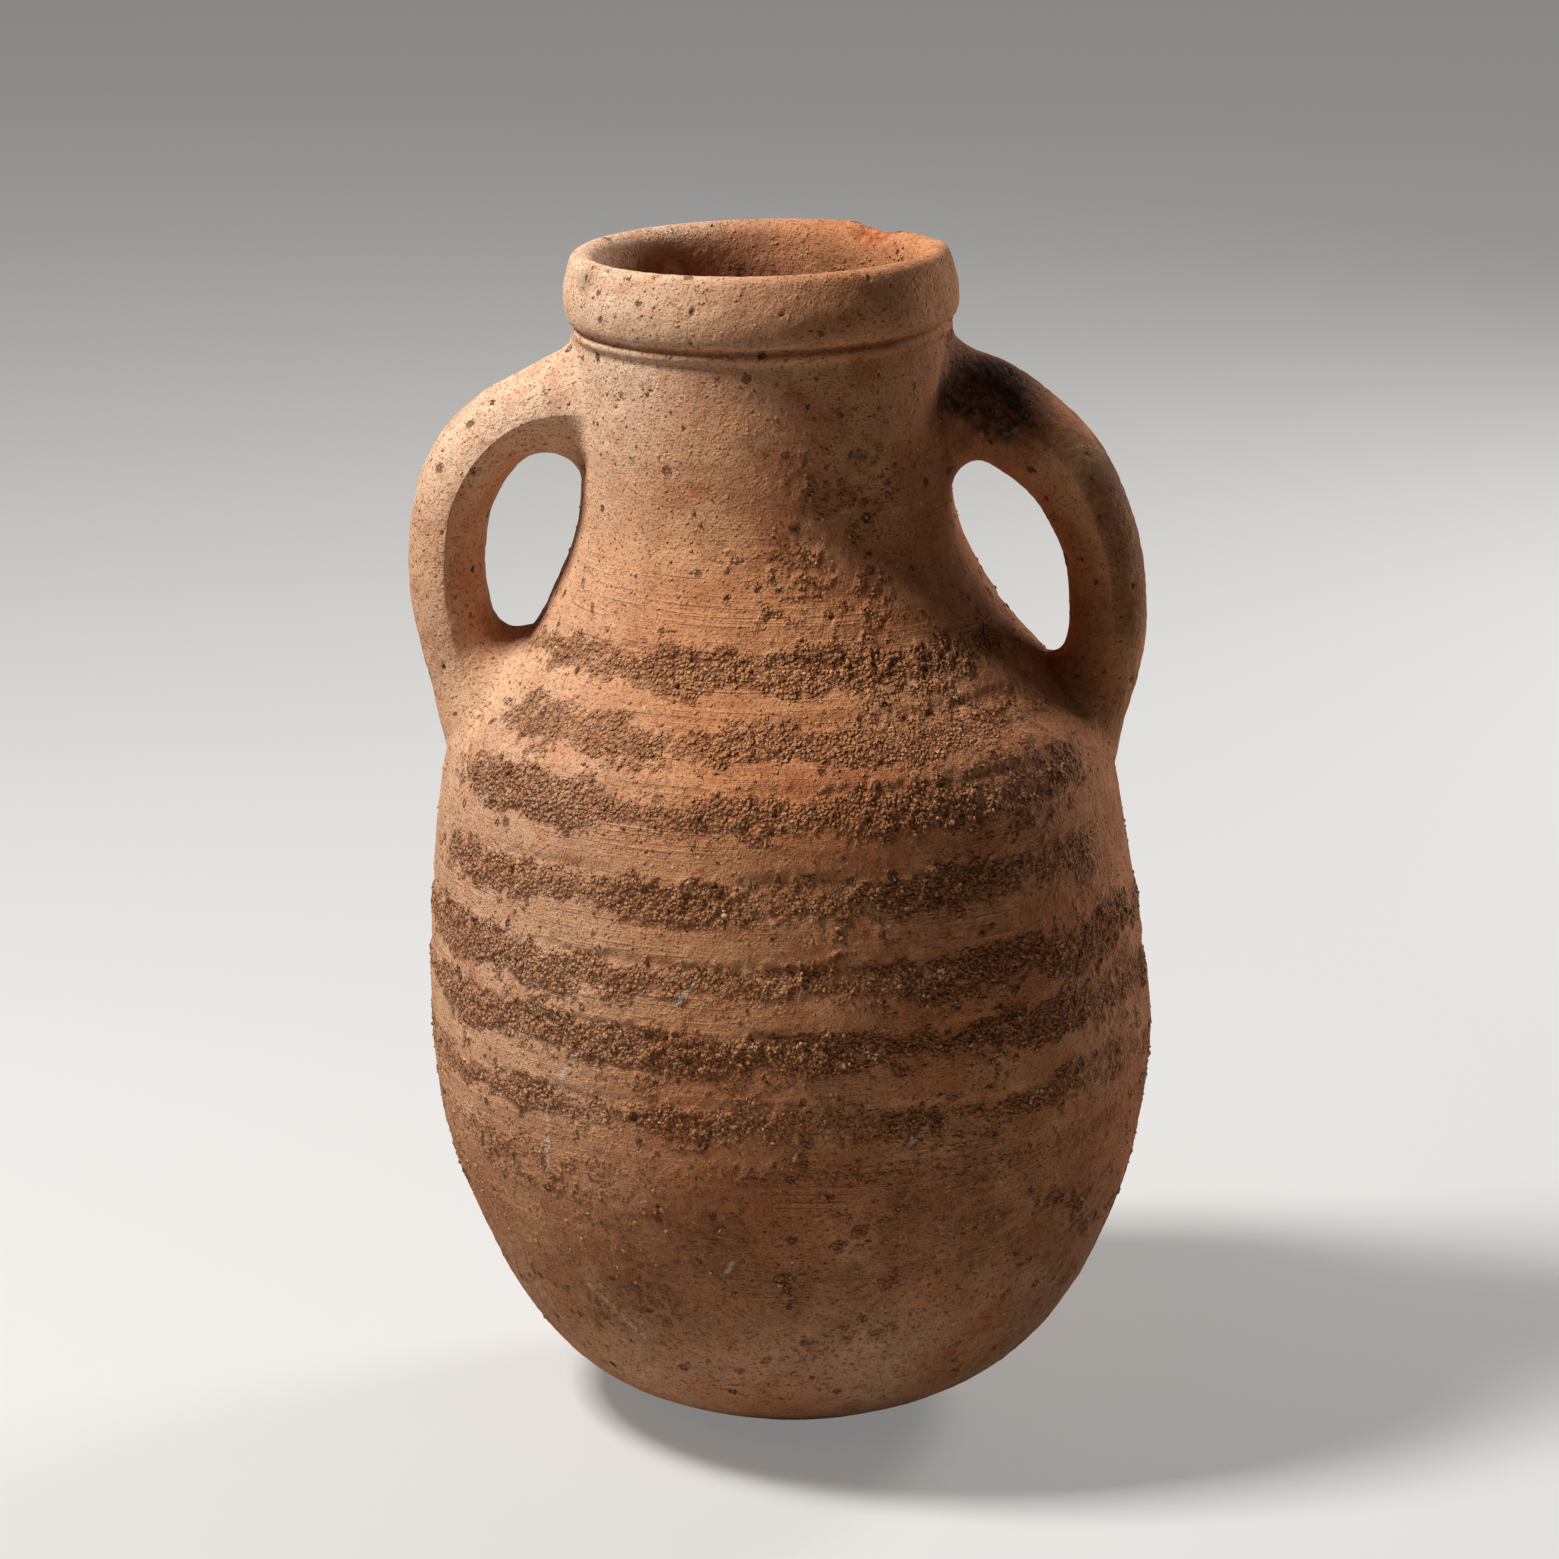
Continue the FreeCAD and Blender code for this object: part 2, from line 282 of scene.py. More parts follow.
# %% Lean, dip and out-of-round
LEAN = [(0, 0), (60, 0.9), (100, -0.5), (120, -0.6), (140, -1.6), (160, -2.8), (180, -4.0), (220, -5.2),
        (260, -7.4), (300, -8.2), (325, -8.9), (335, -9.5), (352, -10.2)]
DIP = math.tan(math.radians(1.35))
lean_heights = np.linspace(-5, 356, 800)
lean_offsets = smooth_line(*zip(*LEAN), lean_heights)[:, 0]


def settled(points):
    """Clay points after the jar has leaned, dipped and gone a little out of round."""
    x, y, z = points[..., 0], points[..., 1], points[..., 2]
    turn = np.arctan2(y, x)
    radius = np.hypot(x, y)
    swell = 0.35 * np.sin(2 * turn) + 0.2 * np.sin(3 * turn + 0.4) - 0.2
    swell = swell + 0.6 * np.cos(2 * turn) * ramp(50, 85, z) * ramp(150, 120, z)
    radius = radius + swell * ramp(30, 70, radius) * (1 - 0.6 * ramp(250, 300, z))
    x = radius * np.cos(turn)
    lifted = z + x * DIP * ramp(120, 300, z)
    shift = np.interp(z, lean_heights, lean_offsets)
    return np.stack([x + shift, radius * np.sin(turn), lifted], axis=-1)


levels = outer[..., 2].copy()
outer = settled(outer)
inner = settled(inner)
print("leaning skin spans, mm:", outer.min((0, 1)).round(1), outer.max((0, 1)).round(1))

# %% [markdown]
# ## A field of random lumps
# Crumbs and stains need randomness that is smooth, has a size in millimetres, and is the same each time. A
# block of seeded random numbers, read between its corners, gives that for any point.

# %% Random lumps of a chosen size
BLOCK = 64
lattice = np.random.default_rng(1807).random(BLOCK ** 3).astype(np.float32)


def lumps(points, size, shift=0.0):
    """A smooth random field from 0 to 1 whose lumps are about size mm across; size may differ by axis."""
    q = points / np.asarray(size, float) + shift + 1000
    cell = np.floor(q).astype(np.int64)
    part = (q - cell).astype(np.float32)
    part = part * part * (3 - 2 * part)
    low = cell % BLOCK
    high = (cell + 1) % BLOCK
    total = 0
    up = part[..., 2]
    for ix, wx in ((low[..., 0], 1 - part[..., 0]), (high[..., 0], part[..., 0])):
        for iy, wy in ((low[..., 1], 1 - part[..., 1]), (high[..., 1], part[..., 1])):
            row = (ix * BLOCK + iy) * BLOCK
            near = lattice[row + low[..., 2]] * (1 - up) + lattice[row + high[..., 2]] * up
            total = total + near * (wx * wy)
    return total


def bumps(points, *layers):
    """Lumps added up, each layer given as its height, its size in mm and its shift, about an even level."""
    return sum(height * (lumps(points, size, shift) - 0.5) for height, size, shift in layers)


def unit(ways):
    """Directions made one long."""
    return ways / np.maximum(np.linalg.norm(ways, axis=-1, keepdims=True), 1e-9)


def normals_of(grid):
    """Unit directions square to a grid whose columns close into a ring."""
    down = np.gradient(grid, axis=0)
    wide = np.concatenate([grid[:, -1:], grid, grid[:, :1]], axis=1)
    return unit(np.cross((wide[:, 2:] - wide[:, :-2]) / 2, down))


outer_normals = normals_of(outer)
print("outward at the belly:", outer_normals[outside_marks[3], 0].round(2))

# %% [markdown]
# ## The two handles
# Each handle is a strap of clay whose section is a lens with a soft edge, pulled by hand, bent over and
# pressed on. The section is carried along the centre line that the jar shows, with the same tree as the wall.
# Where it meets the wall it has to spread like wet clay under a thumb.

# %% The strap's section and centre lines
HALF_THICK = 11.4
HALF_WIDE = 17.0
LENS_SHARE = 0.89
STRAP_STEP = 0.62
RIGHT_LINE = [(38, 304.5), (46, 304.2), (60.3, 301.2), (74, 292.1), (81.5, 282.9), (86.4, 272.6),
              (90.5, 259.1), (92.1, 246.3), (92.2, 235.7), (90.0, 225), (86.8, 214.5), (84.3, 204),
              (82.6, 194), (81.6, 184)]
LEFT_LINE = [(-54, 303.6), (-62.5, 303.5), (-77.3, 301.0), (-89.8, 292.1), (-96.2, 282.8), (-99.6, 274.2),
             (-101.1, 263.6), (-101.5, 257), (-100.9, 246.5), (-99.3, 237.9), (-95.8, 225.3), (-92.4, 214),
             (-90.2, 204), (-88.8, 194), (-88.4, 184)]


def lens_section(count=150):
    """Points round the strap's section, (across, outwards): a lens whose edges an oval softens."""
    turn = np.linspace(0, 2 * np.pi, count, endpoint=False)
    wide = HALF_WIDE * np.cos(turn)
    arc = (HALF_THICK ** 2 + HALF_WIDE ** 2) / (2 * HALF_THICK)
    lens = np.sqrt(arc ** 2 - wide ** 2) - (arc - HALF_THICK)
    oval = HALF_THICK * np.abs(np.sin(turn))
    return np.c_[wide, np.sign(np.sin(turn)) * (LENS_SHARE * lens + (1 - LENS_SHARE) * oval)]


def strap_grid(line):
    """Grid of the bare strap and its centre line, in mm."""
    even, length = drawn(line)
    count = round(length / STRAP_STEP)
    pick = np.linspace(0, len(even) - 1, count).round().astype(int)
    centre = np.c_[even[pick, 0], np.zeros(count), even[pick, 1]]
    return carried(centre, False, lens_section(), True, (0, 1, 0)), centre


right_strap, right_centre = strap_grid(RIGHT_LINE)
left_strap, left_centre = strap_grid(LEFT_LINE)
print("straps:", right_strap.shape, left_strap.shape)

# %% How far a point stands off the wall
wall_heights = np.linspace(0.5, NECK_TOP - 1, 1600)
climb = outside[np.argmax(outside[:, 1] > 0.3):np.argmax(outside[:, 1] >= NECK_TOP - 0.5)]
wall_radii = np.interp(wall_heights, climb[:, 1], climb[:, 0])
wall_slopes = np.gradient(wall_radii, wall_heights)


def off_wall(points):
    """Distance of points from the outside of the leaning wall, and the direction square to it."""
    x, y, z = points[..., 0], points[..., 1], points[..., 2]
    z = z - (x - np.interp(z, lean_heights, lean_offsets)) * DIP * ramp(120, 300, z)
    shift = np.interp(z, lean_heights, lean_offsets)
    reach = np.hypot(x - shift, y)
    slope = np.interp(z, wall_heights, wall_slopes)
    lean = 1 / np.sqrt(1 + slope ** 2)
    away = (reach - np.interp(z, wall_heights, wall_radii)) * lean
    square = np.stack([(x - shift) / reach * lean, y / reach * lean, -slope * lean], axis=-1)
    return away, square


# %% Spread the ends of a strap over the wall
BURIED = 3.6  # mm that the ends reach into the wall, about its middle


def spread_out(strap, centre, spread_top, spread_foot):
    """The strap with its two ends flared over some mm until they lie along the wall."""
    outward = unit(strap - centre[:, None, :])
    share = np.linspace(0, 1, len(centre))[:, None]
    reach = spread_top + (spread_foot - spread_top) * ramp(0.4, 0.6, share)
    swell = np.zeros(strap.shape[:2])
    for turn in range(14):
        away, square = off_wall(strap + outward * swell[..., None])
        flat = np.clip((outward * square).sum(-1), 0, 1)
        rest = np.clip(away, 0, reach)
        wanted = (reach - np.sqrt(reach ** 2 - (reach - rest) ** 2)) * (1 - flat) ** 1.2
        swell = 0.5 * (swell + wanted)
    spread = strap + outward * swell[..., None]
    for turn in range(3):
        away, square = off_wall(spread)
        spread = spread + square * np.maximum(-BURIED - away, 0)[..., None]
    return spread, off_wall(spread)


def hand_pulled(strap, centre, root, spreads, seed):
    """A strap with slow unevenness, a thick root and a round foot, then spread at both ends."""
    share = np.linspace(0, 1, len(centre))[:, None, None]
    rel = strap - centre[:, None, :]
    around = np.linspace(0, 2 * np.pi, strap.shape[1], endpoint=False)
    half_way = len(centre) // 2
    faces_out = np.sign(rel[half_way, len(around) // 4, 0] * centre[half_way, 0])
    outer_half = ramp(-0.3, 0.3, faces_out * np.sin(around))[None, :, None]
    (out_more, out_fades), (in_more, in_fades) = root
    thicker = out_more * ramp(out_fades[1], out_fades[0], share) * outer_half
    thicker = thicker + in_more * ramp(in_fades[1], in_fades[0], share) * (1 - outer_half)
    uneven = bumps(centre[:, None, :], (0.10, 40, seed))[..., None]
    lens_thick = np.maximum(np.abs(lens_section(strap.shape[1])[:, 1]), 0.2)
    rounder = np.clip(HALF_THICK * np.abs(np.sin(around)) / lens_thick, 1, 2)[None, :, None]
    at_foot = ramp(0.55, 0.8, share)
    widen = 1 + 0.1 * ramp(0.6, 0.9, share)
    along_y = np.array([0.0, 1.0, 0.0])
    thick = 1 + thicker + 0.75 * (rounder - 1) * at_foot
    rel = rel * (1 + uneven) * (along_y * widen + (1 - along_y) * thick)
    return spread_out(centre[:, None, :] + rel, centre, *spreads)


RIGHT_ROOT = (0.36, (0.06, 0.24)), (0.36, (0.20, 0.50))
LEFT_ROOT = (0.42, (0.06, 0.17)), (0.26, (0.08, 0.22))
right_skin = hand_pulled(right_strap, right_centre, RIGHT_ROOT, (10.5, 8.0), 3.1)
left_skin = hand_pulled(left_strap, left_centre, LEFT_ROOT, (9.0, 15.0), 7.7)
print("handles reach x =", right_skin[0][..., 0].max().round(1), left_skin[0][..., 0].min().round(1))

# %% [markdown]
# ## Bands of sand and clay crumbs
# Soil has stuck in bands round the shoulder and belly, where the wall was left rough between smooth ridges.
# Each band is given by its height, half its width and how rough it is. Its top edge is a small step below a
# smooth ridge, and its lower edge fades out, which makes the ridges catch the light. Near the handles thumbs
# have wiped the clay smooth, so the bands fade there.

# %% Where the wall is rough
BANDS = [(239.5, 5.0, 0.85), (222.7, 5.4, 0.95), (206.0, 5.8, 1.0), (182.4, 6.2, 1.0), (158.5, 6.0, 1.0),
         (139.2, 5.4, 1.0), (118.4, 4.8, 0.75), (102.5, 5.0, 0.38), (84.0, 4.6, 0.22)]


def handle_nearness(points):
    """1 on the wall right at a handle's end, fading raggedly to 0 about 25 mm away from it."""
    near = np.full(points.shape[:-1], 9.0)
    for centre in (right_centre, left_centre):
        for cx, _, cz in centre[::6]:
            level = np.hypot(points[..., 0] - cx, points[..., 2] - cz) / 24
            near = np.minimum(near, np.hypot(level, points[..., 1] / 30))
    return 1 - ramp(0.75, 1.7, near + bumps(points, (0.5, 8, 31.0), (0.45, 2.4, 32.0)))


def roughness(points, heights):
    """Rough share, 0 to 1, and the step of the bands in mm, for wall points at their own heights."""
    wander = bumps(points, (2.6, (55, 55, 90), 5.0))
    ragged = bumps(points, (1.1, (16, 16, 9), 2.0), (0.9, (6, 6, 4), 2.0), (0.9, 2.2, 4.0))
    patchy = lumps(points, (30, 30, 12), 9.0)
    thinned = lumps(points, (9, 9, 4), 10.0)
    rough = np.zeros(points.shape[:-1])
    step = np.zeros(points.shape[:-1])
    for height, half, strength in BANDS:
        across = (heights - height - wander - bumps(points, (1.2, (38, 38, 60), height))) / half
        faded = np.where(across > 0, 1 - across, 0.95 * (1 + across) + 0.12)
        edge = ramp(-0.7, 1.0, faded + 1.05 * ragged)
        covered = (0.66 + 0.5 * ramp(0.2, 0.62, patchy)) * (0.84 + 0.16 * ramp(0.3, 0.55, thinned))
        rough = np.maximum(rough, edge * strength * covered)
        slanted = -(0.5 + 0.5 * np.clip(across, -1, 1)) * ramp(1.3, 0.7, across + 0.3 * ragged)
        step += np.where(np.abs(across) < 1.6, slanted, 0) * strength
    return rough, step


turn = np.arctan2(outer[..., 1], outer[..., 0] + 4)
rough, step = roughness(outer, levels)
wiped = handle_nearness(outer)
far_right = ramp(-0.75, -0.35, turn) * ramp(1.0, 0.6, turn)
rough *= (1 - wiped) * (1 - 0.45 * far_right * ramp(0.62, 0.4, lumps(outer, 18, 1.0)))
PATCHES = [((8, -60, 258), (26, 40, 22), 0.58), ((16, -50, 292), (24, 40, 22), 0.46),
           ((38, -72, 232), (22, 30, 20), 0.7), ((62, -62, 205), (22, 30, 16), 0.7),
           ((-20, -98, 128), (40, 40, 9), 0.5), ((30, -100, 108), (50, 40, 9), 0.5),
           ((-70, -70, 96), (36, 40, 9), 0.55), ((0, 60, 245), (60, 30, 20), 0.6),
           ((-30, 100, 110), (50, 30, 12), 0.6), ((95, -45, 165), (34, 44, 62), 0.42)]
speckled = ramp(0.34, 0.7, 0.35 * lumps(outer, (7, 7, 5), 8.0) + 0.65 * lumps(outer, 2.2, 9.0))
for centre, reach, strength in PATCHES:
    inside_patch = np.exp(-(((outer - np.array(centre)) / np.array(reach)) ** 2).sum(-1))
    rough = np.maximum(rough, strength * ramp(0.1, 0.75, inside_patch) * speckled * (1 - wiped))
low_patch = ramp(104, 78, levels) * ramp(22, 60, levels)
rough = np.maximum(rough, 0.5 * low_patch * ramp(0.5, 0.85, lumps(outer, (14, 14, 7), 6.0)) * speckled * 1.4)
stray = ramp(0.62, 0.8, lumps(outer, 9, 17.0)) * ramp(0.6, 0.8, lumps(outer, 2.4, 18.0))
above_foot = ramp(8, 30, levels)
rough = np.maximum(rough, 0.6 * stray * (1 - wiped) * ramp(330, 300, levels) * above_foot)
everywhere = (0.1 + 0.13 * ramp(125, 90, levels)) * above_foot
rough = np.clip(np.maximum(rough, everywhere), 0, 1)
print("rough share of the wall:", rough.mean().round(3))

# %% The relief of the skin
crumbs = 0.62 * lumps(outer, 2.1, 3.0) + 0.38 * lumps(outer, 1.15, 6.0)
throwing = bumps(outer, (0.22, (70, 70, 3.4), 11.0)) * (1 - rough)
slow = bumps(outer, (0.55, 34, 12.0), (0.3, 11, 13.0))
calm = 1 - 0.75 * ramp(322, 325.5, levels)
relief = (slow + throwing) * calm + bumps(outer, (0.16, 1.7, 14.0))
relief += 0.95 * step * (1 - wiped) * ramp(0.2, 0.6, lumps(outer, (26, 26, 10), 28.0))
relief += rough ** 1.5 * (3.0 * np.maximum(crumbs - 0.45, 0) + 0.1)
relief *= ramp(0, 3, levels) * 0.9 + 0.1
print("relief spans, mm:", relief.min().round(2), relief.max().round(2))

# %% [markdown]
# ## Small losses
# Grit burst out of the clay in the kiln and left pits. The biggest are pressed into the grid, each as a small
# uneven bowl, and the finest are left to the material. The lip is worn low at the back right, and a flake has
# broken from it and shows redder clay.

# %% Pits pressed into a skin


def pressed_pits(grid, count, seed, sizes, rows):
    """Depth in mm of seeded pits over some rows of a grid whose columns close into a ring."""
    rng = np.random.default_rng(seed)
    depth = np.zeros(grid.shape[:2])
    columns = grid.shape[1]
    for _ in range(count):
        i = int(rng.integers(rows[0] + 6, rows[1] - 6))
        j = int(rng.integers(0, columns))
        size = sizes[0] + (sizes[1] - sizes[0]) * rng.random() ** 2
        turned_by = rng.random() * 6.28
        lobes = rng.integers(2, 6)
        here = np.ix_(np.arange(max(0, i - 8), min(len(grid), i + 9)), np.arange(j - 9, j + 10) % columns)
        away = grid[here] - grid[i, j]
        spread = np.linalg.norm(away, axis=-1)
        around = np.arctan2(away[..., 2], away[..., 0] * 0.7 + away[..., 1] * 0.7)
        edge = size * (1 + 0.25 * np.sin(lobes * around + turned_by))
        bowl = ramp(1.15, 0.2, spread / np.maximum(edge, 0.3))
        depth[here] = np.maximum(depth[here], bowl * size * 0.5)
    return depth


PIT_LOTS = [(120, 21, 1.4, 4, -2), (60, 22, 1.2, 2, 4), (40, 23, 1.3, -2, -1)]
pits = 0
for count, seed, largest, first, last in PIT_LOTS:
    rows = outside_marks[first], outside_marks[last]
    pits = pits + pressed_pits(outer, count, seed, (0.5, largest), rows)
print("pitted share:", (pits > 0.1).mean().round(4))

# %% The worn lip and the flake
collar_start = outside_marks[-2]
crest = collar_start + int(np.argmax(outside_rows[collar_start:, 1]))
angle = np.degrees(np.arctan2(outer[..., 1], outer[..., 0] + 9))
near_crest = ramp(338, 346, levels)
worn = 1.2 * ramp(2, 20, angle) * ramp(62, 44, angle) * near_crest
FLAKE_TURN = 47  # degrees round from the right towards the back
flake_at = outer[crest, int(round(FLAKE_TURN / 360 * COLUMNS))]
from_flake = np.linalg.norm((outer - flake_at) * np.array([1.0, 1.0, 1.25]), axis=-1)
broken = ramp(9.5, 4.5, from_flake + bumps(outer, (4.0, 3.4, 15.0)))
flake = broken * (1.3 + bumps(outer, (1.6, 2.4, 16.0)))
print("flake from, mm:", flake_at.round(1))

# %% Put the relief on
outer = outer + outer_normals * (relief - pits)[..., None]
outer[..., 2] -= worn + flake * ramp(338, 347, outer[..., 2])
outer[..., 2] = np.maximum(outer[..., 2], 0)
outer_normals = normals_of(outer)
inner_levels = inner[..., 2]
inner_relief = 0.5 * np.sin(inner_levels * 0.72 + 1.5 * lumps(inner, 40, 2.0)) * ramp(12, 40, inner_levels)
inner_relief = inner_relief * ramp(325, 300, inner_levels) + bumps(inner, (0.5, 14, 4.0))
inner = inner - normals_of(inner) * (inner_relief * ramp(NECK_TOP + 0.5, 322, inner_levels))[..., None]
inner_normals = -normals_of(inner)
print("outer now spans, mm:", outer.min((0, 1)).round(2), outer.max((0, 1)).round(2))

# %% [markdown]
# ## Colours that come from use and burial, and painted light and shade
# Some tones belong to places on the jar: brown soil stain low down, pale lime bloom on the lip and the left
# handle, soot on the right handle, a few drips of lime. Some are painted light and shade: the left side,
# where the light falls, is painted paler along with the bloom, the right side is painted redder for its
# shade, the right handle's soot carries a painted shadow of the collar and painted shade on its outer face,
# and the inside of the jar is painted dark. They are worked out for any point in space, so that a handle and
# the wall under it have the same tone where they meet, and are kept as vertex attributes.

# %% Stains by place
# The blobs by the right handle's top root paint soot and, with it, the shadow that the collar casts there.
SOOT_AND_SHADE = [((53, -16, 305), 13, 1.0), ((63, -15, 303), 9, 0.7), ((60, -2, 313), 11, 0.35),
        ((95, -6, 283), 9, 0.25), ((-59, -25, 345), 4.5, 0.45)]
SMUDGES = [((57, -85, 78), 13), ((30, -92, 92), 11), ((10, -90, 66), 14), ((82, -62, 72), 14),
           ((48, -86, 100), 10), ((-40, -80, 62), 17), ((66, -50, 44), 12), ((-20, -96, 84), 12)]
DRIPS = [((-104, 160), (-107, 153), 1.1), ((-124, 134), (-127, 126), 1.3), ((-130, 116), (-131, 97), 0.8),
         ((-128, 60), (-118, 44), 1.1), ((-68, 117), (-71, 111), 1.0), ((-99, 75), (-100, 72), 0.9)]


def blob(points, centre, size):
    """1 at a centre, fading evenly to 0 beyond a size."""
    return np.exp(-((points - np.array(centre)) ** 2).sum(-1) / size ** 2)


def stains(points):
    """Tones by place for any points, each 0 to 1: soot with painted shade, smudges, brown soil, pale bloom
    with painted light on the left, and red clay with the shade side painted redder.
    """
    x, z = points[..., 0], points[..., 2]
    ragged = 0.35 + 1.3 * lumps(points, 6, 21.0)
    stained = z + bumps(points, (40, 45, 22.0))
    # Paler on the neck and lip towards the left, and on the left of the belly: lime bloom, and painted light
    # on the side where the light falls.
    pale = ramp(250, 330, z) * (0.06 + 0.84 * ramp(20, -70, x)) * (0.55 + 0.9 * lumps(points, 16, 23.0))
    pale += 0.55 * ramp(-15, -90, x) * ramp(50, 150, z)
    pale += 0.5 * ramp(85, 30, z) * lumps(points, 22, 33.0)
    reddish = ramp(0.66, 0.86, lumps(points, 9, 24.0)) * ramp(0.4, 0.7, lumps(points, 50, 25.0))
    # The right half of the belly and shoulder is painted redder: painted shade on the side turned from the
    # light.
    shade_side_redder = ramp(-60, 45, x) * ramp(40, 110, z) * ramp(300, 220, z)
    reddish = np.maximum(reddish, 0.5 * shade_side_redder * ramp(0.2, 0.6, lumps(points, (60, 60, 30), 29.0)))
    tones = {"soot": sum(blob(points, centre, size) * dark for centre, size, dark in SOOT_AND_SHADE) * ragged,
             "smudge": sum(blob(points, centre, size) for centre, size in SMUDGES) * ragged,
             "soil": ramp(150, 40, stained) * (1 - 0.85 * ramp(70, 22, stained)),
             "bloom": pale, "red": reddish}
    return {key: np.clip(tone, 0, 1) for key, tone in tones.items()}


def drips(points):
    """Thin runs of lime on the front of the wall, 0 to 1."""
    x, y, z = points[..., 0] + 2, points[..., 1], points[..., 2]
    around = np.degrees(np.arctan2(y, x))
    total = 0
    for (a0, z0), (a1, z1), wide in DRIPS:
        share = np.clip((z0 - z) / (z0 - z1), 0, 1)
        sideways = np.radians(around - (a0 + (a1 - a0) * share)) * np.hypot(x, y)
        beyond = z - (z0 + (z1 - z0) * share)
        total = np.maximum(total, ramp(1.0, 0.3, np.hypot(sideways, beyond) / wide))
    return total * ramp(0.25, 0.55, lumps(points, 1.4, 26.0))


outer_marks = stains(outer)
past_crest = (np.arange(len(outer)) - crest) / (len(outer) - 1 - crest)
# Down the throat, past the lip's crest, the clay is painted darker and less pale: painted shade inside the
# mouth.
shade_down_throat = ramp(0.12, 0.75, past_crest)[:, None] * ramp(0.2, 0.5, lumps(outer, (9, 9, 5), 30.0) + 0.1)
outer_marks["bloom"] *= 1 - 0.85 * shade_down_throat
outer_marks["soil"] = np.maximum(outer_marks["soil"], shade_down_throat)
outer_marks["smudge"] = np.maximum(outer_marks["smudge"], 0.45 * shade_down_throat)
outer_marks["red"] = np.maximum(outer_marks["red"] * 0.75 * (1 - 0.6 * rough), broken)
outer_marks["lime"] = drips(outer)
outer_marks["rough"] = rough
outer_marks["pit"] = np.clip(pits * 1.8, 0, 1)
turned_share = 0.25 + 0.75 * ramp(0.4, 0.62, lumps(outer, (45, 45, 9), 27.0))
outer_marks["wheel"] = turned_share * ramp(318, 238, levels) * ramp(20, 60, levels)
print({key: value.mean().round(3) for key, value in outer_marks.items()})

# %% [markdown]
# ## Closing the pieces
# Each course of the wall is its own closed body: an outer skin, an inner skin, and a flat joint above and
# below. The shading directions are taken from the whole grid before it is parted, so the joints between
# courses cannot be seen on the finished jar.

# %% Faces between rings of points


def ring_faces(first, count, columns):
    """Quads over count rows of a ring grid whose first vertex has the number first."""
    j = np.arange(columns)
    lower = first + np.arange(count - 1)[:, None] * columns
    a, b = lower + j, lower + (j + 1) % columns
    return np.stack([a, b, b + columns, a + columns], axis=-1).reshape(-1, 4)


def joint_faces(wide_ring, narrow_ring):
    """Faces of a flat joint between a ring of points and one with a whole number of times fewer."""
    ratio = len(wide_ring) // len(narrow_ring)
    run = [np.roll(wide_ring, -k)[::ratio] for k in range(ratio + 1)]
    return np.stack(run + [np.roll(narrow_ring, -1), narrow_ring], axis=-1)


MARKS = ["soot", "smudge", "soil", "bloom", "red", "lime", "rough", "pit", "wheel"]


def piece(title, points, normals, groups, marks):
    """A closed smooth object from points in mm, groups of faces that look outwards, and attributes."""
    mesh = bpy.data.meshes.new(title)
    faces = [face for group in groups for face in group.tolist()]
    mesh.from_pydata((points * MM).astype(np.float32), [], faces, shade_flat=False)
    for key in MARKS:
        value = marks.get(key, np.zeros(len(points)))
        mesh.attributes.new(key, "FLOAT", "POINT").data.foreach_set("value", value.astype(np.float32))
    mesh.normals_split_custom_set_from_vertices(normals.astype(np.float32))
    print(title, "faces:", len(faces))
    return placed(title, mesh)


def marks_inside_with_shade(points):
    """Tones inside the jar: little lime bloom, and painted shade that darkens all of it."""
    known = stains(points)
    blank = np.zeros(len(points))
    return {"lime": blank, "rough": blank, "pit": blank, "wheel": blank, **known,
            "bloom": known["bloom"] * 0.15, "soil": blank + 1, "smudge": blank + 0.45}


# %% The five courses of the wall, and the collar
pieces = {}
cuts = [0] + outside_marks[2:]
foot_ring = np.arange(COLUMNS)
for number, title in enumerate([*SEAM_HEIGHTS, "rim_collar"]):
    rows = slice(cuts[number], cuts[number + 1] + 1)
    skin = outer[rows].reshape(-1, 3)
    ways = outer_normals[rows].reshape(-1, 3)
    marks = {key: value[rows].ravel() for key, value in outer_marks.items()}
    groups = [ring_faces(0, len(skin) // COLUMNS, COLUMNS)]
    top_ring = foot_ring + len(skin) - COLUMNS
    if title == "rim_collar":
        groups.append(joint_faces(top_ring, foot_ring))
    else:
        rows = slice(inside_marks[number], inside_marks[number + 1] + 1)
        thin = 1 if title == "neck" else 2
        lining = inner[rows, ::thin]
        foot_inside = len(skin) + np.arange(lining.shape[1])
        top_inside = foot_inside + (len(lining) - 1) * lining.shape[1]
        groups.append(ring_faces(len(skin), *lining.shape[:2])[:, ::-1])
        groups.append(joint_faces(top_ring, top_inside))
        if number:
            groups.append(joint_faces(foot_ring, foot_inside)[:, ::-1])
        else:
            groups += [foot_ring[None, ::-1], foot_inside[None, :]]
        lining = lining.reshape(-1, 3)
        skin = np.r_[skin, lining]
        ways = np.r_[ways, inner_normals[rows, ::thin].reshape(-1, 3)]
        marks = {key: np.r_[marks[key], value] for key, value in marks_inside_with_shade(lining).items()}
    pieces[title] = piece(title + "_clay", skin, ways, groups, marks)

# %% [markdown]
# ## The handle skins
# A handle is one grid from end to end, cut into three closed bodies: the strap, and the pressed clay at its
# top and foot. The ends are closed by a few rings that shrink along the middle of the wall, inside its
# thickness, so nothing shows on the inside of the jar either.

# %% Close a strap's end inside the wall
SHRINK = (0.8, 0.58, 0.36, 0.14)


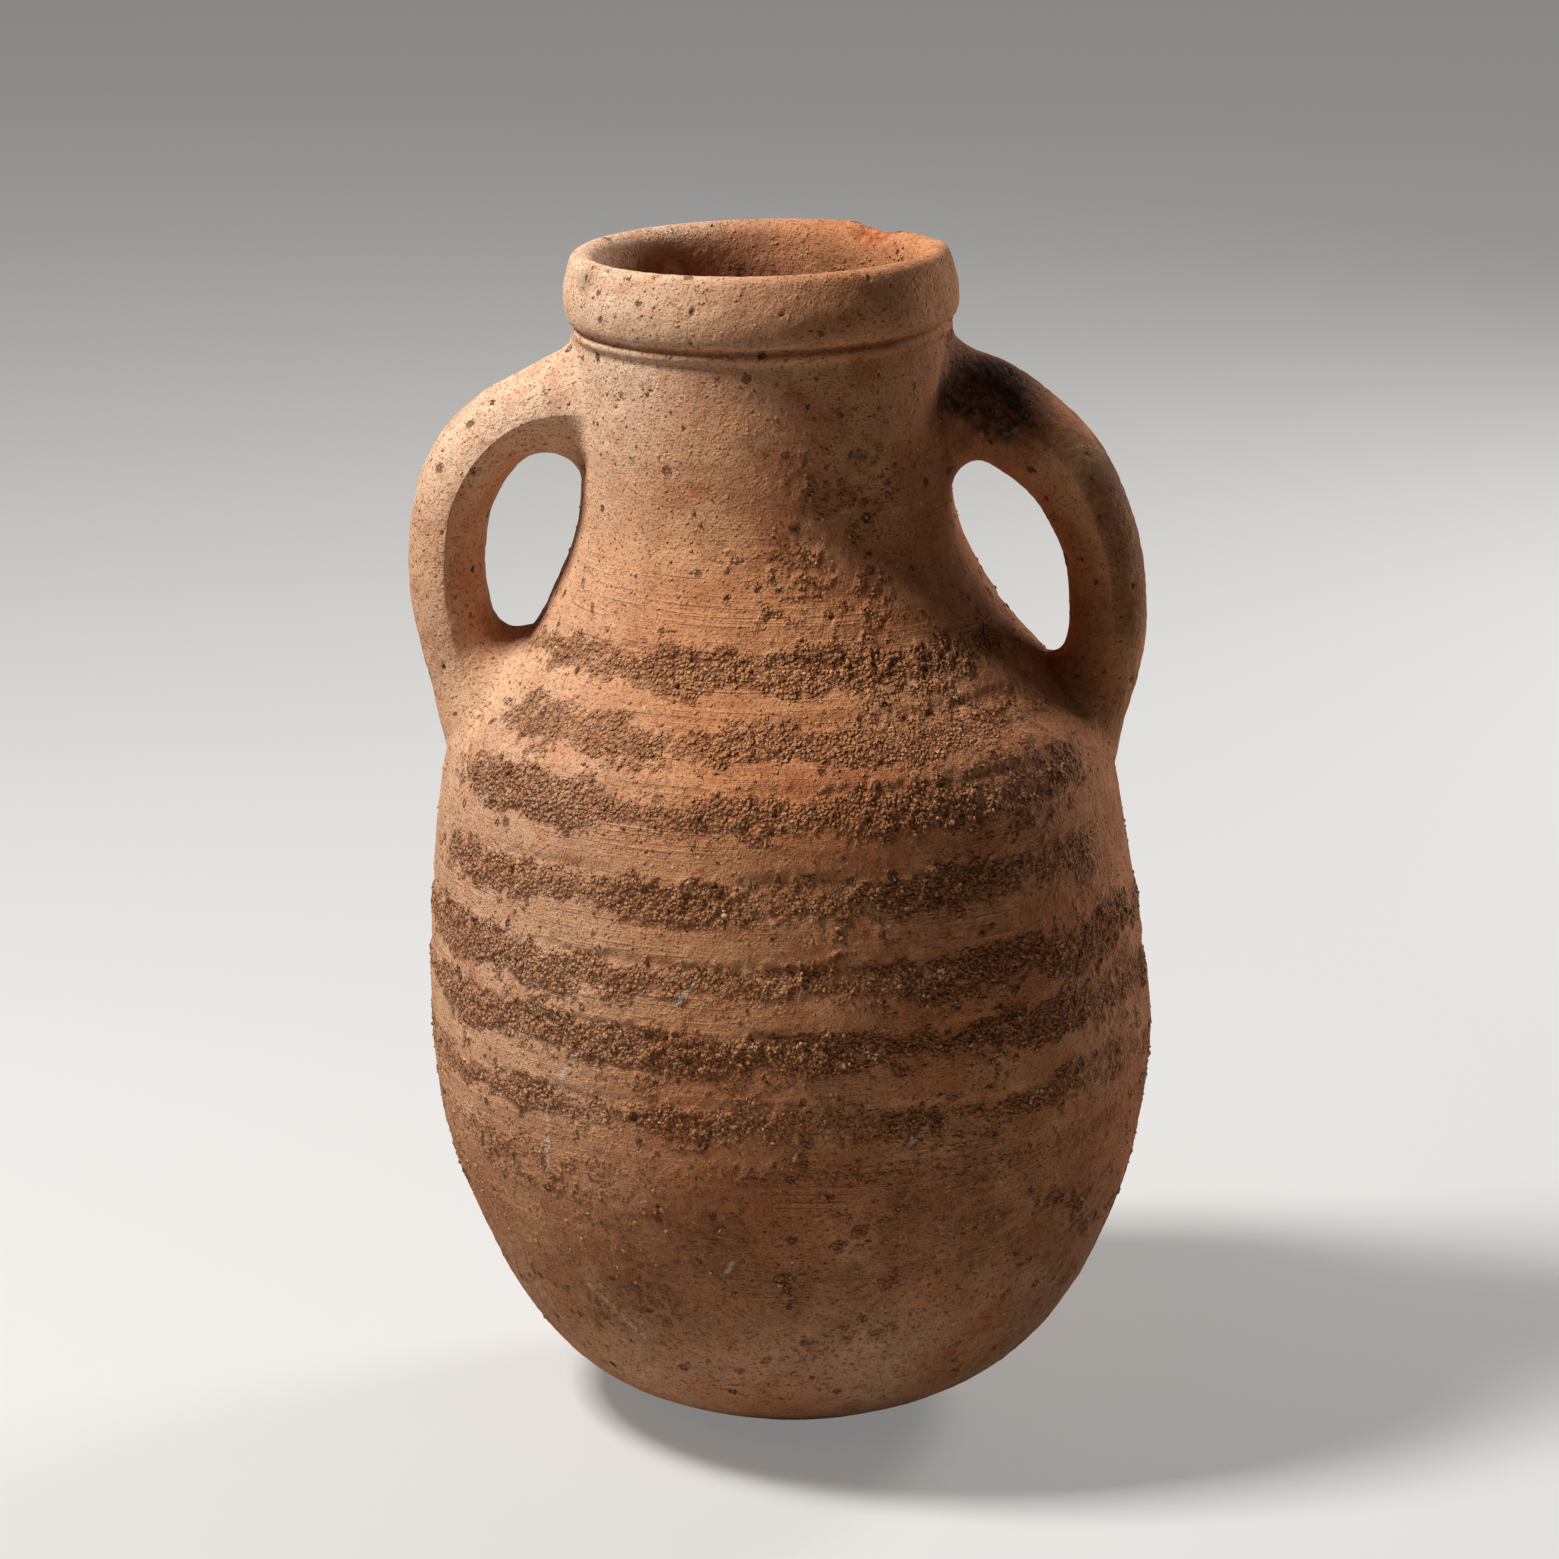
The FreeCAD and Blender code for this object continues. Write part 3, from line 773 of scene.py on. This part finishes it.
def closing_rings(ring):
    """Smaller and smaller rings that follow the middle of the wall from a handle's last ring."""
    middle = ring.mean(0)
    rings = []
    for scale in SHRINK:
        shrunk = middle + (ring - middle) * scale
        for turn in range(4):
            away, square = off_wall(shrunk)
            shrunk = shrunk + square * (-BURIED - away)[:, None]
        rings.append(shrunk)
    return np.array(rings)


# %% Cut and dress one handle
PAD_REACH = 15.0  # mm off the wall where a pad ends and the strap starts


def handle_pieces(side, skin, centre, seed, outer_face_shade_strength, pit_count):
    """The strap and its two root pads as closed objects."""
    grid, (away, square) = skin
    shown = np.nonzero(away.max(1) > -1.0)[0]
    grid, away, square, centre = (part[shown[0]:shown[-1] + 1] for part in (grid, away, square, centre))
    pulled = bumps(grid, (0.5, 17, seed), (0.3, 6, seed + 1), (0.3, 1.7, seed + 2))
    pits_here = pressed_pits(grid, pit_count, int(seed * 10), (0.5, 1.5), (0, len(grid)))
    raised = (pulled - pits_here) * ramp(0.5, 6, away) - 0.35 * ramp(1.5, 0, away)
    grid = grid + normals_of(grid) * raised[..., None]
    blend = ramp(2.4, 0.3, away)[..., None]
    facing = unit(normals_of(grid) * (1 - blend) + square * blend)
    columns = grid.shape[1]
    ring = np.arange(columns)
    known = stains(grid)
    outside_half = ramp(-0.05, 0.3, np.sin(ring * 2 * np.pi / columns))[None, :]
    # The outer half of the right handle above its bend is darkened: painted shade on the face turned from the
    # light.
    outer_face_shade = outside_half * ramp(0.1, 0.6, lumps(grid, (10, 10, 18), seed + 3)) * ramp(200, 222, grid[..., 2])
    known["soot"] = np.clip(known["soot"] + outer_face_shade_strength * outer_face_shade, 0, 1)
    known["red"] *= 0.4
    known["pit"] = np.clip(pits_here * 1.8, 0, 1)
    known["rough"] = 0.4 * ramp(9, 1, away) * ramp(235, 215, grid[..., 2]) * lumps(grid, 3, 9.0)
    middle = np.nonzero(off_wall(centre)[0] > PAD_REACH)[0]
    cuts = [0, middle[0], middle[-1], len(grid) - 1]
    made = {}
    for ending, low, top in zip(("_top_pad", "", "_foot_pad"), cuts[:-1], cuts[1:]):
        before = closing_rings(grid[0])[::-1] if ending == "_top_pad" else grid[:0]
        after = closing_rings(grid[-1]) if ending == "_foot_pad" else grid[:0]
        rings = np.concatenate([before, grid[low:top + 1], after])
        as_row = np.clip(np.arange(low - len(before), top + 1 + len(after)), low, top)
        top_ring = ring + (len(rings) - 1) * columns
        groups = [ring_faces(0, len(rings), columns), ring[None, ::-1], top_ring[None, :]]
        marks = {key: value[as_row].ravel() for key, value in known.items()}
        node = side + "_handle" + ending
        made[node] = piece(node + "_clay", rings.reshape(-1, 3), facing[as_row].reshape(-1, 3), groups, marks)
    return made


pieces.update(handle_pieces("right", right_skin, right_centre, 3.3, 0.4, 90))
pieces.update(handle_pieces("left", left_skin, left_centre, 5.9, 0.0, 60))

# %% [markdown]
# ## Fired clay as a material
# Earthenware fired at a low heat is matt, open and warm: mostly orange tan, browner where soil has stained
# it, paler where lime has bloomed. The recipe also paints light and shade: shade in the sandy bands, the pits
# and the turning grooves, highlight on the crumbs and the turning ridges. One recipe makes every finish,
# because it is all one clay, and a finish only changes how strongly the wheel, the hand or the wiping cloth
# has marked it. Colours are given as they would be picked on screen and turned to linear light by one
# function.

# %% Colours


def linear(code, alpha=1.0):
    """Linear colour from an sRGB hex code."""
    parts = [int(code[i:i + 2], 16) / 255 for i in (1, 3, 5)]
    return tuple(c / 12.92 if c <= 0.04045 else ((c + 0.055) / 1.055) ** 2.4 for c in parts) + (alpha,)


# Some of these colours also paint light and shade: soot paints shade on the right handle, soil and smudge
# paint the inside of the jar dark, bloom paints the lit left side paler, red paints the shaded right side,
# the crumb colours and gap paint highlight and shade in the bands, pit paints shade in the pits, and pale and
# brown paint the turning ridges and grooves.
CLAY = {"pale": "#dba070", "tan": "#c98151", "brown": "#a25c32", "bloom": "#e3bf9f", "soil": "#9c6540",
        "flecks_and_cavity_shade": "#703c1f", "gap": "#60341c", "crumb_tone_and_highlight": "#cc8b53", "pit": "#5a2f1c",
        "lime": "#dccdb8", "soot": "#2c1d14", "smudge": "#573c29", "red": "#a8542f"}
print("tan in linear light:", [round(c, 3) for c in linear(CLAY["tan"])])

# %% The recipe's noises, grains, steps, colours and depths
# Each noise has its real size in mm, its detail and, where marks are long, its stretch by axis. Real silt is
# about 0.1 mm across, too fine to show, so grainy, starry and stroked are drawn at about 0.7 mm. Sand of
# 0.5 mm is drawn as crumbs of 1.15 mm and grit of 0.7 mm, as coarse as it needs to be to show.
PER_MM = 1000.0
NOISES = {
    "patches": (42, 4), "clouds": (11, 5), "stain": (15, 5), "powder": (6, 5), "soot_and_shade_mottle": (2.2, 5),
    "smears": (2.6, 6), "flaked": (3, 4), "lumpy": (2.4, 4), "frayed": (1.6, 3), "grainy": (0.75, 3),
    "starry": (0.7, 2), "dusty": (1.3, 4), "lathed": (1.2, 3, (0.03, 0.03, 1.0)),
    "stroked": (0.75, 3, (0.5, 0.5, 0.12)),
}
CELLS = {"crumb": 1.15, "grit": 0.7, "pop": 7.0, "speck": 5.2}
# Each step names what it makes, then how, then from what: an ease rises from 0 to 1, or between its last two
# numbers, while its source goes from the first number to the second, and the others are sums.
STEPS = [
    ("patches", "ease", "patches", 0.3, 0.7),
    ("clouds", "ease", "clouds", 0.32, 0.7),
    ("stain", "ease", "stain", 0.2, 0.7),
    ("powder", "ease", "powder", 0.25, 0.65, 0.45, 1.0),
    ("soot_and_shade_mottle", "ease", "soot_and_shade_mottle", 0.3, 0.62, 0.65, 0.95),
    ("smears", "ease", "smears", 0.32, 0.74),
    ("flaked", "ease", "flaked", 0.35, 0.6),
    ("ridge", "ease", "lathed", 0.52, 0.7),
    ("groove", "ease", "lathed", 0.48, 0.3),
    ("fleck", "ease", "grainy", 0.44, 0.29),
    ("dust", "ease", "dusty", 0.6, 0.74),
    ("speckle", "ease", "dusty", 0.43, 0.31),
    ("crumb gap", "ease", "crumb distance", 0.42, 0.75),
    ("pale crumb", "ease", "crumb green", 0.94, 0.98),
    ("uneven", "ease", "crumb blue", 0.0, 1.0, 0.35, 1.0),
    ("speck chosen", "ease", "speck red", 0.80, 0.84),
    ("speck core", "ease", "speck distance", 0.11, 0.07),
    ("rough here", "MULTIPLY_ADD", "frayed", 0.9, "rough"),
    ("rough here", "ease", "rough here", 0.62, 1.18),
]
for grain, base, more in (("crumb", -0.88, 0.8), ("grit", -0.72, 0.6)):
    STEPS += [
        (grain + " dome", "ease", grain + " distance", 0.7, 0.1),
        (grain, "MULTIPLY_ADD", "rough here", more, base),
        (grain, "ADD", grain, grain + " red"),
        (grain, "MULTIPLY clamped", grain, 6.0),
        (grain, "MULTIPLY", grain, grain + " dome"),
    ]
STEPS += [
    ("burst", "ease", "pop distance", 0.08, 0.04),
    ("pop size", "ease", "pop blue", 0.3, 1.0, 0.05, 0.23),
    ("pop chosen", "LESS_THAN", "pop green", "pit share"),
    ("starred", "MULTIPLY_ADD", "starry", 0.5, "pop distance"),
    ("popped", "SUBTRACT", "pop size", "starred"),
    ("popped", "MULTIPLY_ADD clamped", "popped", 14.0, 3.6),
    ("popped", "MULTIPLY", "popped", "pop chosen"),
    ("pressed", "MULTIPLY_ADD", "pit", 0.8, "starry"),
    ("pressed", "MULTIPLY_ADD clamped", "pressed", 6.0, -5.4),
    ("hole", "MAXIMUM", "popped", "pressed"),
]
# Colours laid over each other, and depths in mm added up, each times the product of some values.
LAYERS = [
    ("brown", 0.55, "clouds"),
    # Painted highlight on the turning ridges and painted shade in their grooves.
    ("pale", 0.28, "ridge", "wheel"),
    ("brown", 0.3, "groove", "wheel"),
    ("soil", 0.85, "soil", "stain"),
    ("bloom", 1.0, "bloom", "powder"),
    ("red", 1.0, "red", "flaked"),
    ("smudge", 0.85, "smudge", "smears"),
    # Painted shade and highlight in the sandy bands: the bands are darkened, their crumbs are lighter and the
    # gaps between crumbs darker, where the relief's own shadows and lit tops would be.
    ("brown", 0.22, "rough here", "clouds"),
    ("flecks_and_cavity_shade", 0.35, "rough here", "crumb blue"),
    ("gap", 0.8, "rough here", "crumb gap"),
    ("crumb_tone_and_highlight", 0.95, "crumb", "crumb red"),
    ("bloom", 0.5, "crumb", "pale crumb"),
    # Painted shade in the pits and burst holes, which are coloured dark.
    ("pit", 0.95, "hole", "powder"),
    ("lime", 0.8, "pop chosen", "burst", "flaked"),
    ("lime", 0.75, "speck chosen", "speck core"),
    ("lime", 0.75, "lime"),
    ("soot", 1.0, "soot", "soot_and_shade_mottle"),
    ("flecks_and_cavity_shade", 0.55, "fleck"),
    ("flecks_and_cavity_shade", 0.35, "speckle"),
    ("bloom", 0.35, "dust"),
]
DEPTHS = [(0.12, "grit"), (1.9, "crumb", "uneven"), (1.4, "rough here", "lumpy"), (0.1, "flaked"),
          (-0.15, "fleck"), (-0.16, "speckle"), (-0.9, "hole"), (0.15, "speck chosen", "speck core")]

# %% The recipe for fired clay


def new_material(title):
    """A material with its tree and its main surface."""
    made = bpy.data.materials.new(title)
    made.use_nodes = True
    return made, made.node_tree, made.node_tree.nodes["Principled BSDF"]


def fired_clay(title, turned_depth, stroke_depth, grain_depth, pit_share):
    """A matt earthenware: depths in mm of its turning marks, strokes and grain, and how pitted it is."""
    clay, tree, surface = new_material(title)
    place = add(tree, "ShaderNodeTexCoord").outputs["Object"]
    value = {key: add(tree, "ShaderNodeAttribute", {"attribute_name": key}).outputs["Fac"] for key in MARKS}
    value["pit share"] = pit_share
    for name, (size, detail, *stretch) in NOISES.items():
        way = add(tree, "ShaderNodeMapping", {"Scale": stretch[0], "Vector": place}) if stretch else place
        value[name] = add(tree, "ShaderNodeTexNoise",
                          {"Scale": PER_MM / size, "Detail": detail, "Roughness": 0.6, "Vector": way})
    # The cells are shaken by up to 0.7 mm, so that no crumb has a straight edge.
    bent = add(tree, "ShaderNodeTexNoise", {"Scale": PER_MM / 1.6, "Detail": 2.0, "Vector": place})
    shaken = add(tree, "ShaderNodeMix",
                 {"data_type": "VECTOR", 0: 0.7 * MM, 4: place, 5: bent.outputs["Color"]}).outputs[1]
    for name, size in CELLS.items():
        cell = add(tree, "ShaderNodeTexVoronoi", {"Scale": PER_MM / size, "Vector": shaken})
        lots = add(tree, "ShaderNodeSeparateColor", {"Color": cell.outputs["Color"]})
        value[name + " distance"] = cell.outputs["Distance"]
        for channel in ("Red", "Green", "Blue"):
            value[name + " " + channel.lower()] = lots.outputs[channel]
    for name, way, *terms in STEPS:
        terms = [value.get(term, term) for term in terms]
        if way == "ease":
            spans = dict(zip(("Value", "From Min", "From Max", "To Min", "To Max"), terms))
            value[name] = add(tree, "ShaderNodeMapRange", {"interpolation_type": "SMOOTHSTEP", **spans})
        else:
            operation, *clamped = way.split()
            options = {"operation": operation, "use_clamp": bool(clamped)}
            value[name] = add(tree, "ShaderNodeMath", {**options, **dict(enumerate(terms))})

    depths = [(grain_depth, "grainy"), (turned_depth, "lathed", "wheel"), (turned_depth, "ridge", "wheel"),
              (stroke_depth, "stroked"), *DEPTHS]
    shares = []
    for strength, *names in [layer[1:] for layer in LAYERS] + [(d * MM, *names) for d, *names in depths]:
        share = strength
        for name in names:
            share = add(tree, "ShaderNodeMath", {"operation": "MULTIPLY", 0: value[name], 1: share})
        shares.append(share)
    colour = linear(CLAY["tan"])
    codes = ["pale"] + [layer[0] for layer in LAYERS]
    for code, share in zip(codes, [value["patches"]] + shares):
        mixed = add(tree, "ShaderNodeMix", {"data_type": "RGBA", 0: share, 6: colour, 7: linear(CLAY[code])})
        colour = mixed.outputs[2]
    height, *more = shares[len(LAYERS):]
    for share in more:
        height = add(tree, "ShaderNodeMath", {"operation": "ADD", 0: height, 1: share})
    bump = add(tree, "ShaderNodeBump", {"Strength": 1.0, "Distance": 1.0, "Height": height})
    tree.links.new(colour, surface.inputs["Base Color"])
    tree.links.new(bump.outputs["Normal"], surface.inputs["Normal"])
    for field, setting in (("Roughness", 0.9), ("IOR", 1.5), ("Specular IOR Level", 0.2)):
        surface.inputs[field].default_value = setting
    return clay


# Turning lines and an open grain make the broad wall read as dry thrown clay and not as paint.
WALL_CLAY = fired_clay("wheel_thrown_earthenware", 0.26, 0.0, 0.2, 0.55)
# The lip was wiped: its lines are faint, so the rim catches a softer, smoother light than the wall.
RIM_CLAY = fired_clay("smoothed_earthenware_lip", 0.07, 0.03, 0.11, 0.6)
# Long upright strokes in place of turning lines tell the eye that the strap was pulled by hand.
HANDLE_CLAY = fired_clay("hand_pulled_earthenware", 0.0, 0.08, 0.12, 0.55)
# Stronger strokes and fewer pits make the roots look thumbed and pressed on.
LUTING_CLAY = fired_clay("thumbed_luting_clay", 0.0, 0.12, 0.13, 0.45)
print("finishes:", [m.name for m in (WALL_CLAY, RIM_CLAY, HANDLE_CLAY, LUTING_CLAY)])

# %% [markdown]
# ## Putting each piece in place of its solid
# Each clay piece takes its finish and the place of one measured solid, which is hidden, and moves with the
# jar's one body.

# %% Give each piece its finish and stand it over its solid
FINISHES = [("rim", RIM_CLAY, "rim_clay"), ("pad", LUTING_CLAY, "luting_clay"),
            ("handle", HANDLE_CLAY, "handle_clay"), ("", WALL_CLAY, "wall_clay")]
for node, made in pieces.items():
    finish, slot = next(pair for part, *pair in FINISHES if part in node)
    made.data.materials.append(finish)
    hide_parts(node)
    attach(made, "root")

# %% [markdown]
# ## Loose grit
# The bands carry thousands of grains of sand and clay that a grid cannot show one by one. A node tree
# scatters real small grains there: the rough attribute decides how many, a seed keeps them the same, and each
# is a twenty-sided grain, half sunk and bent out of shape by noise. They replace no solid.

# %% The node tree that scatters grit
scatter, start, end = new_tree("scatter_grit", [
    ("Grains per area", "NodeSocketFloat"), ("Smallest", "NodeSocketFloat"), ("Largest", "NodeSocketFloat"),
    ("Seed", "NodeSocketInt"), ("Clay", "NodeSocketMaterial")])
seed_in = {"Seed": start.outputs["Seed"]}
rough_mark = add(scatter, "GeometryNodeInputNamedAttribute", {"data_type": "FLOAT", "Name": "rough"})
crowded = add(scatter, "ShaderNodeMath", {"operation": "POWER", 0: rough_mark, 1: 1.6})
amount = add(scatter, "ShaderNodeMath",
             {"operation": "MULTIPLY", 0: crowded, 1: start.outputs["Grains per area"]})
spots = add(scatter, "GeometryNodeDistributePointsOnFaces",
            {"distribute_method": "RANDOM", "Mesh": start.outputs["Geometry"], "Density": amount, **seed_in})
grain_shape = add(scatter, "GeometryNodeMeshIcoSphere", {"Radius": 1.0, "Subdivisions": 1})
draw = add(scatter, "FunctionNodeRandomValue", {"data_type": "FLOAT", **seed_in})
seldom = add(scatter, "ShaderNodeMath", {"operation": "POWER", 0: draw.outputs[1], 1: 2.6})
chance = add(scatter, "ShaderNodeMapRange", {
    "Value": seldom, "To Min": start.outputs["Smallest"], "To Max": start.outputs["Largest"]})
stretch = add(scatter, "FunctionNodeRandomValue",
              {"data_type": "FLOAT_VECTOR", 0: (0.7, 0.7, 0.5), 1: (1.3, 1.3, 0.9), **seed_in})
size = add(scatter, "ShaderNodeVectorMath", {"operation": "SCALE", 0: stretch, "Scale": chance})
grains = add(scatter, "GeometryNodeInstanceOnPoints", {
    "Points": spots, "Instance": grain_shape, "Rotation": spots.outputs["Rotation"], "Scale": size})
whole = add(scatter, "GeometryNodeRealizeInstances", {"Geometry": grains})
bend = add(scatter, "ShaderNodeTexNoise", {"Scale": PER_MM * 1.1, "Detail": 1.0})
centred = add(scatter, "ShaderNodeVectorMath",
              {"operation": "SUBTRACT", 0: bend.outputs["Color"], 1: (0.5, 0.5, 0.5)})
pushed = add(scatter, "ShaderNodeVectorMath", {"operation": "SCALE", 0: centred, "Scale": 0.9 * MM})
uneven = add(scatter, "GeometryNodeSetPosition", {"Geometry": whole, "Offset": pushed})
covered = add(scatter, "GeometryNodeSetMaterial", {"Geometry": uneven, "Material": start.outputs["Clay"]})
scatter.links.new(covered.outputs["Geometry"], end.inputs["Geometry"])
print("tree:", scatter.name, "nodes:", len(scatter.nodes))

# %% The grit's own finish
# Each grain has one of a few dry browns, so the bands look like mixed sand and not like one rough coat.
GRIT, tree, surface = new_material("burial_grit")
place = add(tree, "ShaderNodeTexCoord").outputs["Object"]
each = add(tree, "ShaderNodeTexVoronoi", {"Scale": PER_MM / 2.4, "Vector": place}).outputs["Color"]
pick = add(tree, "ShaderNodeSeparateColor", {"Color": each}).outputs["Green"]
tones = add(tree, "ShaderNodeValToRGB", {"Fac": pick})
stops = tones.color_ramp.elements
stops[0].color = linear("#74482c")
stops[1].color = linear("#d6b08a")
for share, code in ((0.25, "#99663f"), (0.9, "#bd885b")):
    stops.new(share).color = linear(code)
tree.links.new(tones.outputs["Color"], surface.inputs["Base Color"])
surface.inputs["Roughness"].default_value = 0.92
surface.inputs["Specular IOR Level"].default_value = 0.3
print("finish:", GRIT.name)

# %% Scatter it over the rough courses
GRAINS_PER_AREA = 4.4e5  # on a square metre of the roughest wall
SMALLEST, LARGEST = 0.24, 0.78  # half the size of a grain, mm
GRIT_SEEDS = {"shoulder": 4, "upper_wall": 5, "lower_wall": 6, "neck": 7}
for node, seed in GRIT_SEEDS.items():
    holder = placed("grit_source", pieces[node].data)
    mesh = mesh_made_by(scatter, holder, {"Grains per area": GRAINS_PER_AREA, "Smallest": SMALLEST * MM,
                                          "Largest": LARGEST * MM, "Seed": seed, "Clay": GRIT})
    bpy.data.objects.remove(holder)
    mesh.name = "grit_on_" + node
    made = placed(mesh.name, mesh)
    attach(made, "root")
    print(made.name, "faces:", len(mesh.polygons))

# %% [markdown]
# ## Floor, light and camera
# The jar stands on a plain pale floor. A soft lamp at the left and above lights each ridge on its upper edge,
# a weak one at the right and behind gives the dark side an outline, and the room adds an even glow. The
# camera has the angle and the distance of the photograph.

# %% Floor
FLOOR_HALF = 60.0
floor_mesh = bpy.data.meshes.new("floor")
corners = [(x * FLOOR_HALF, y * FLOOR_HALF, 0) for x, y in ((-1, -1), (1, -1), (1, 1), (-1, 1))]
floor_mesh.from_pydata(corners, [], [(0, 1, 2, 3)])
floor = placed("floor", floor_mesh)
# Matt pale paper gives the jar a soft shadow to stand in, and a plain ground that its outline shows against.
paper, tree, surface = new_material("pale_paper_floor")
surface.inputs["Roughness"].default_value = 0.95
seen = add(tree, "ShaderNodeLightPath")
tone = add(tree, "ShaderNodeMix", {"data_type": "RGBA", 0: seen, 6: linear("#b0aca6"), 7: linear("#bab8b5")})
lift = add(tree, "ShaderNodeMath", {"operation": "MULTIPLY", 0: seen, 1: 0.3})
paleness = add(tree, "ShaderNodeEmission", {"Color": linear("#dcdbd8"), "Strength": lift})
both = add(tree, "ShaderNodeAddShader", {0: surface, 1: paleness})
tree.links.new(tone.outputs[2], surface.inputs["Base Color"])
tree.links.new(both.outputs[0], tree.nodes["Material Output"].inputs["Surface"])
floor_mesh.materials.append(paper)

# %% Lamps and room


def soft_lamp(title, place, aim, size, power):
    """A square lamp that looks at a point."""
    data = bpy.data.lights.new(title, "AREA")
    data.shape = "SQUARE"
    data.size = size
    data.energy = power
    lamp = placed(title, data)
    lamp.location = place
    lamp.rotation_euler = (Vector(aim) - Vector(place)).to_track_quat("-Z", "Y").to_euler()


soft_lamp("key_lamp", (-0.95, -0.22, 1.64), (0, 0, 0.2), 0.36, 42.0)
soft_lamp("edge_lamp", (1.15, 1.1, 0.8), (0, 0, 0.18), 0.5, 15.0)
world = bpy.data.worlds.new("room")
world.use_nodes = True
glow = world.node_tree.nodes["Background"].inputs
glow["Color"].default_value = linear("#f5f2ee")
glow["Strength"].default_value = 0.025
bpy.context.scene.world = world

# %% Camera
# Its place and tilt follow from how open the ellipses of the mouth and the belly look in the photograph.
lens_data = bpy.data.cameras.new("camera")
FILM = 36.0
lens_data.sensor_width = FILM
lens_data.lens = FILM * 5035 / 1559  # the photograph's focal length and width, both in pixels
camera = placed("camera", lens_data)
camera.location = (-0.00421, -1.43896, 0.58136)
camera.rotation_euler = (math.radians(74.8), 0, 0)
bpy.context.scene.camera = camera
bpy.context.scene.view_settings.view_transform = "Standard"
print("focal length, mm:", round(lens_data.lens, 1))

# %% Update the scene
bpy.context.view_layer.update()
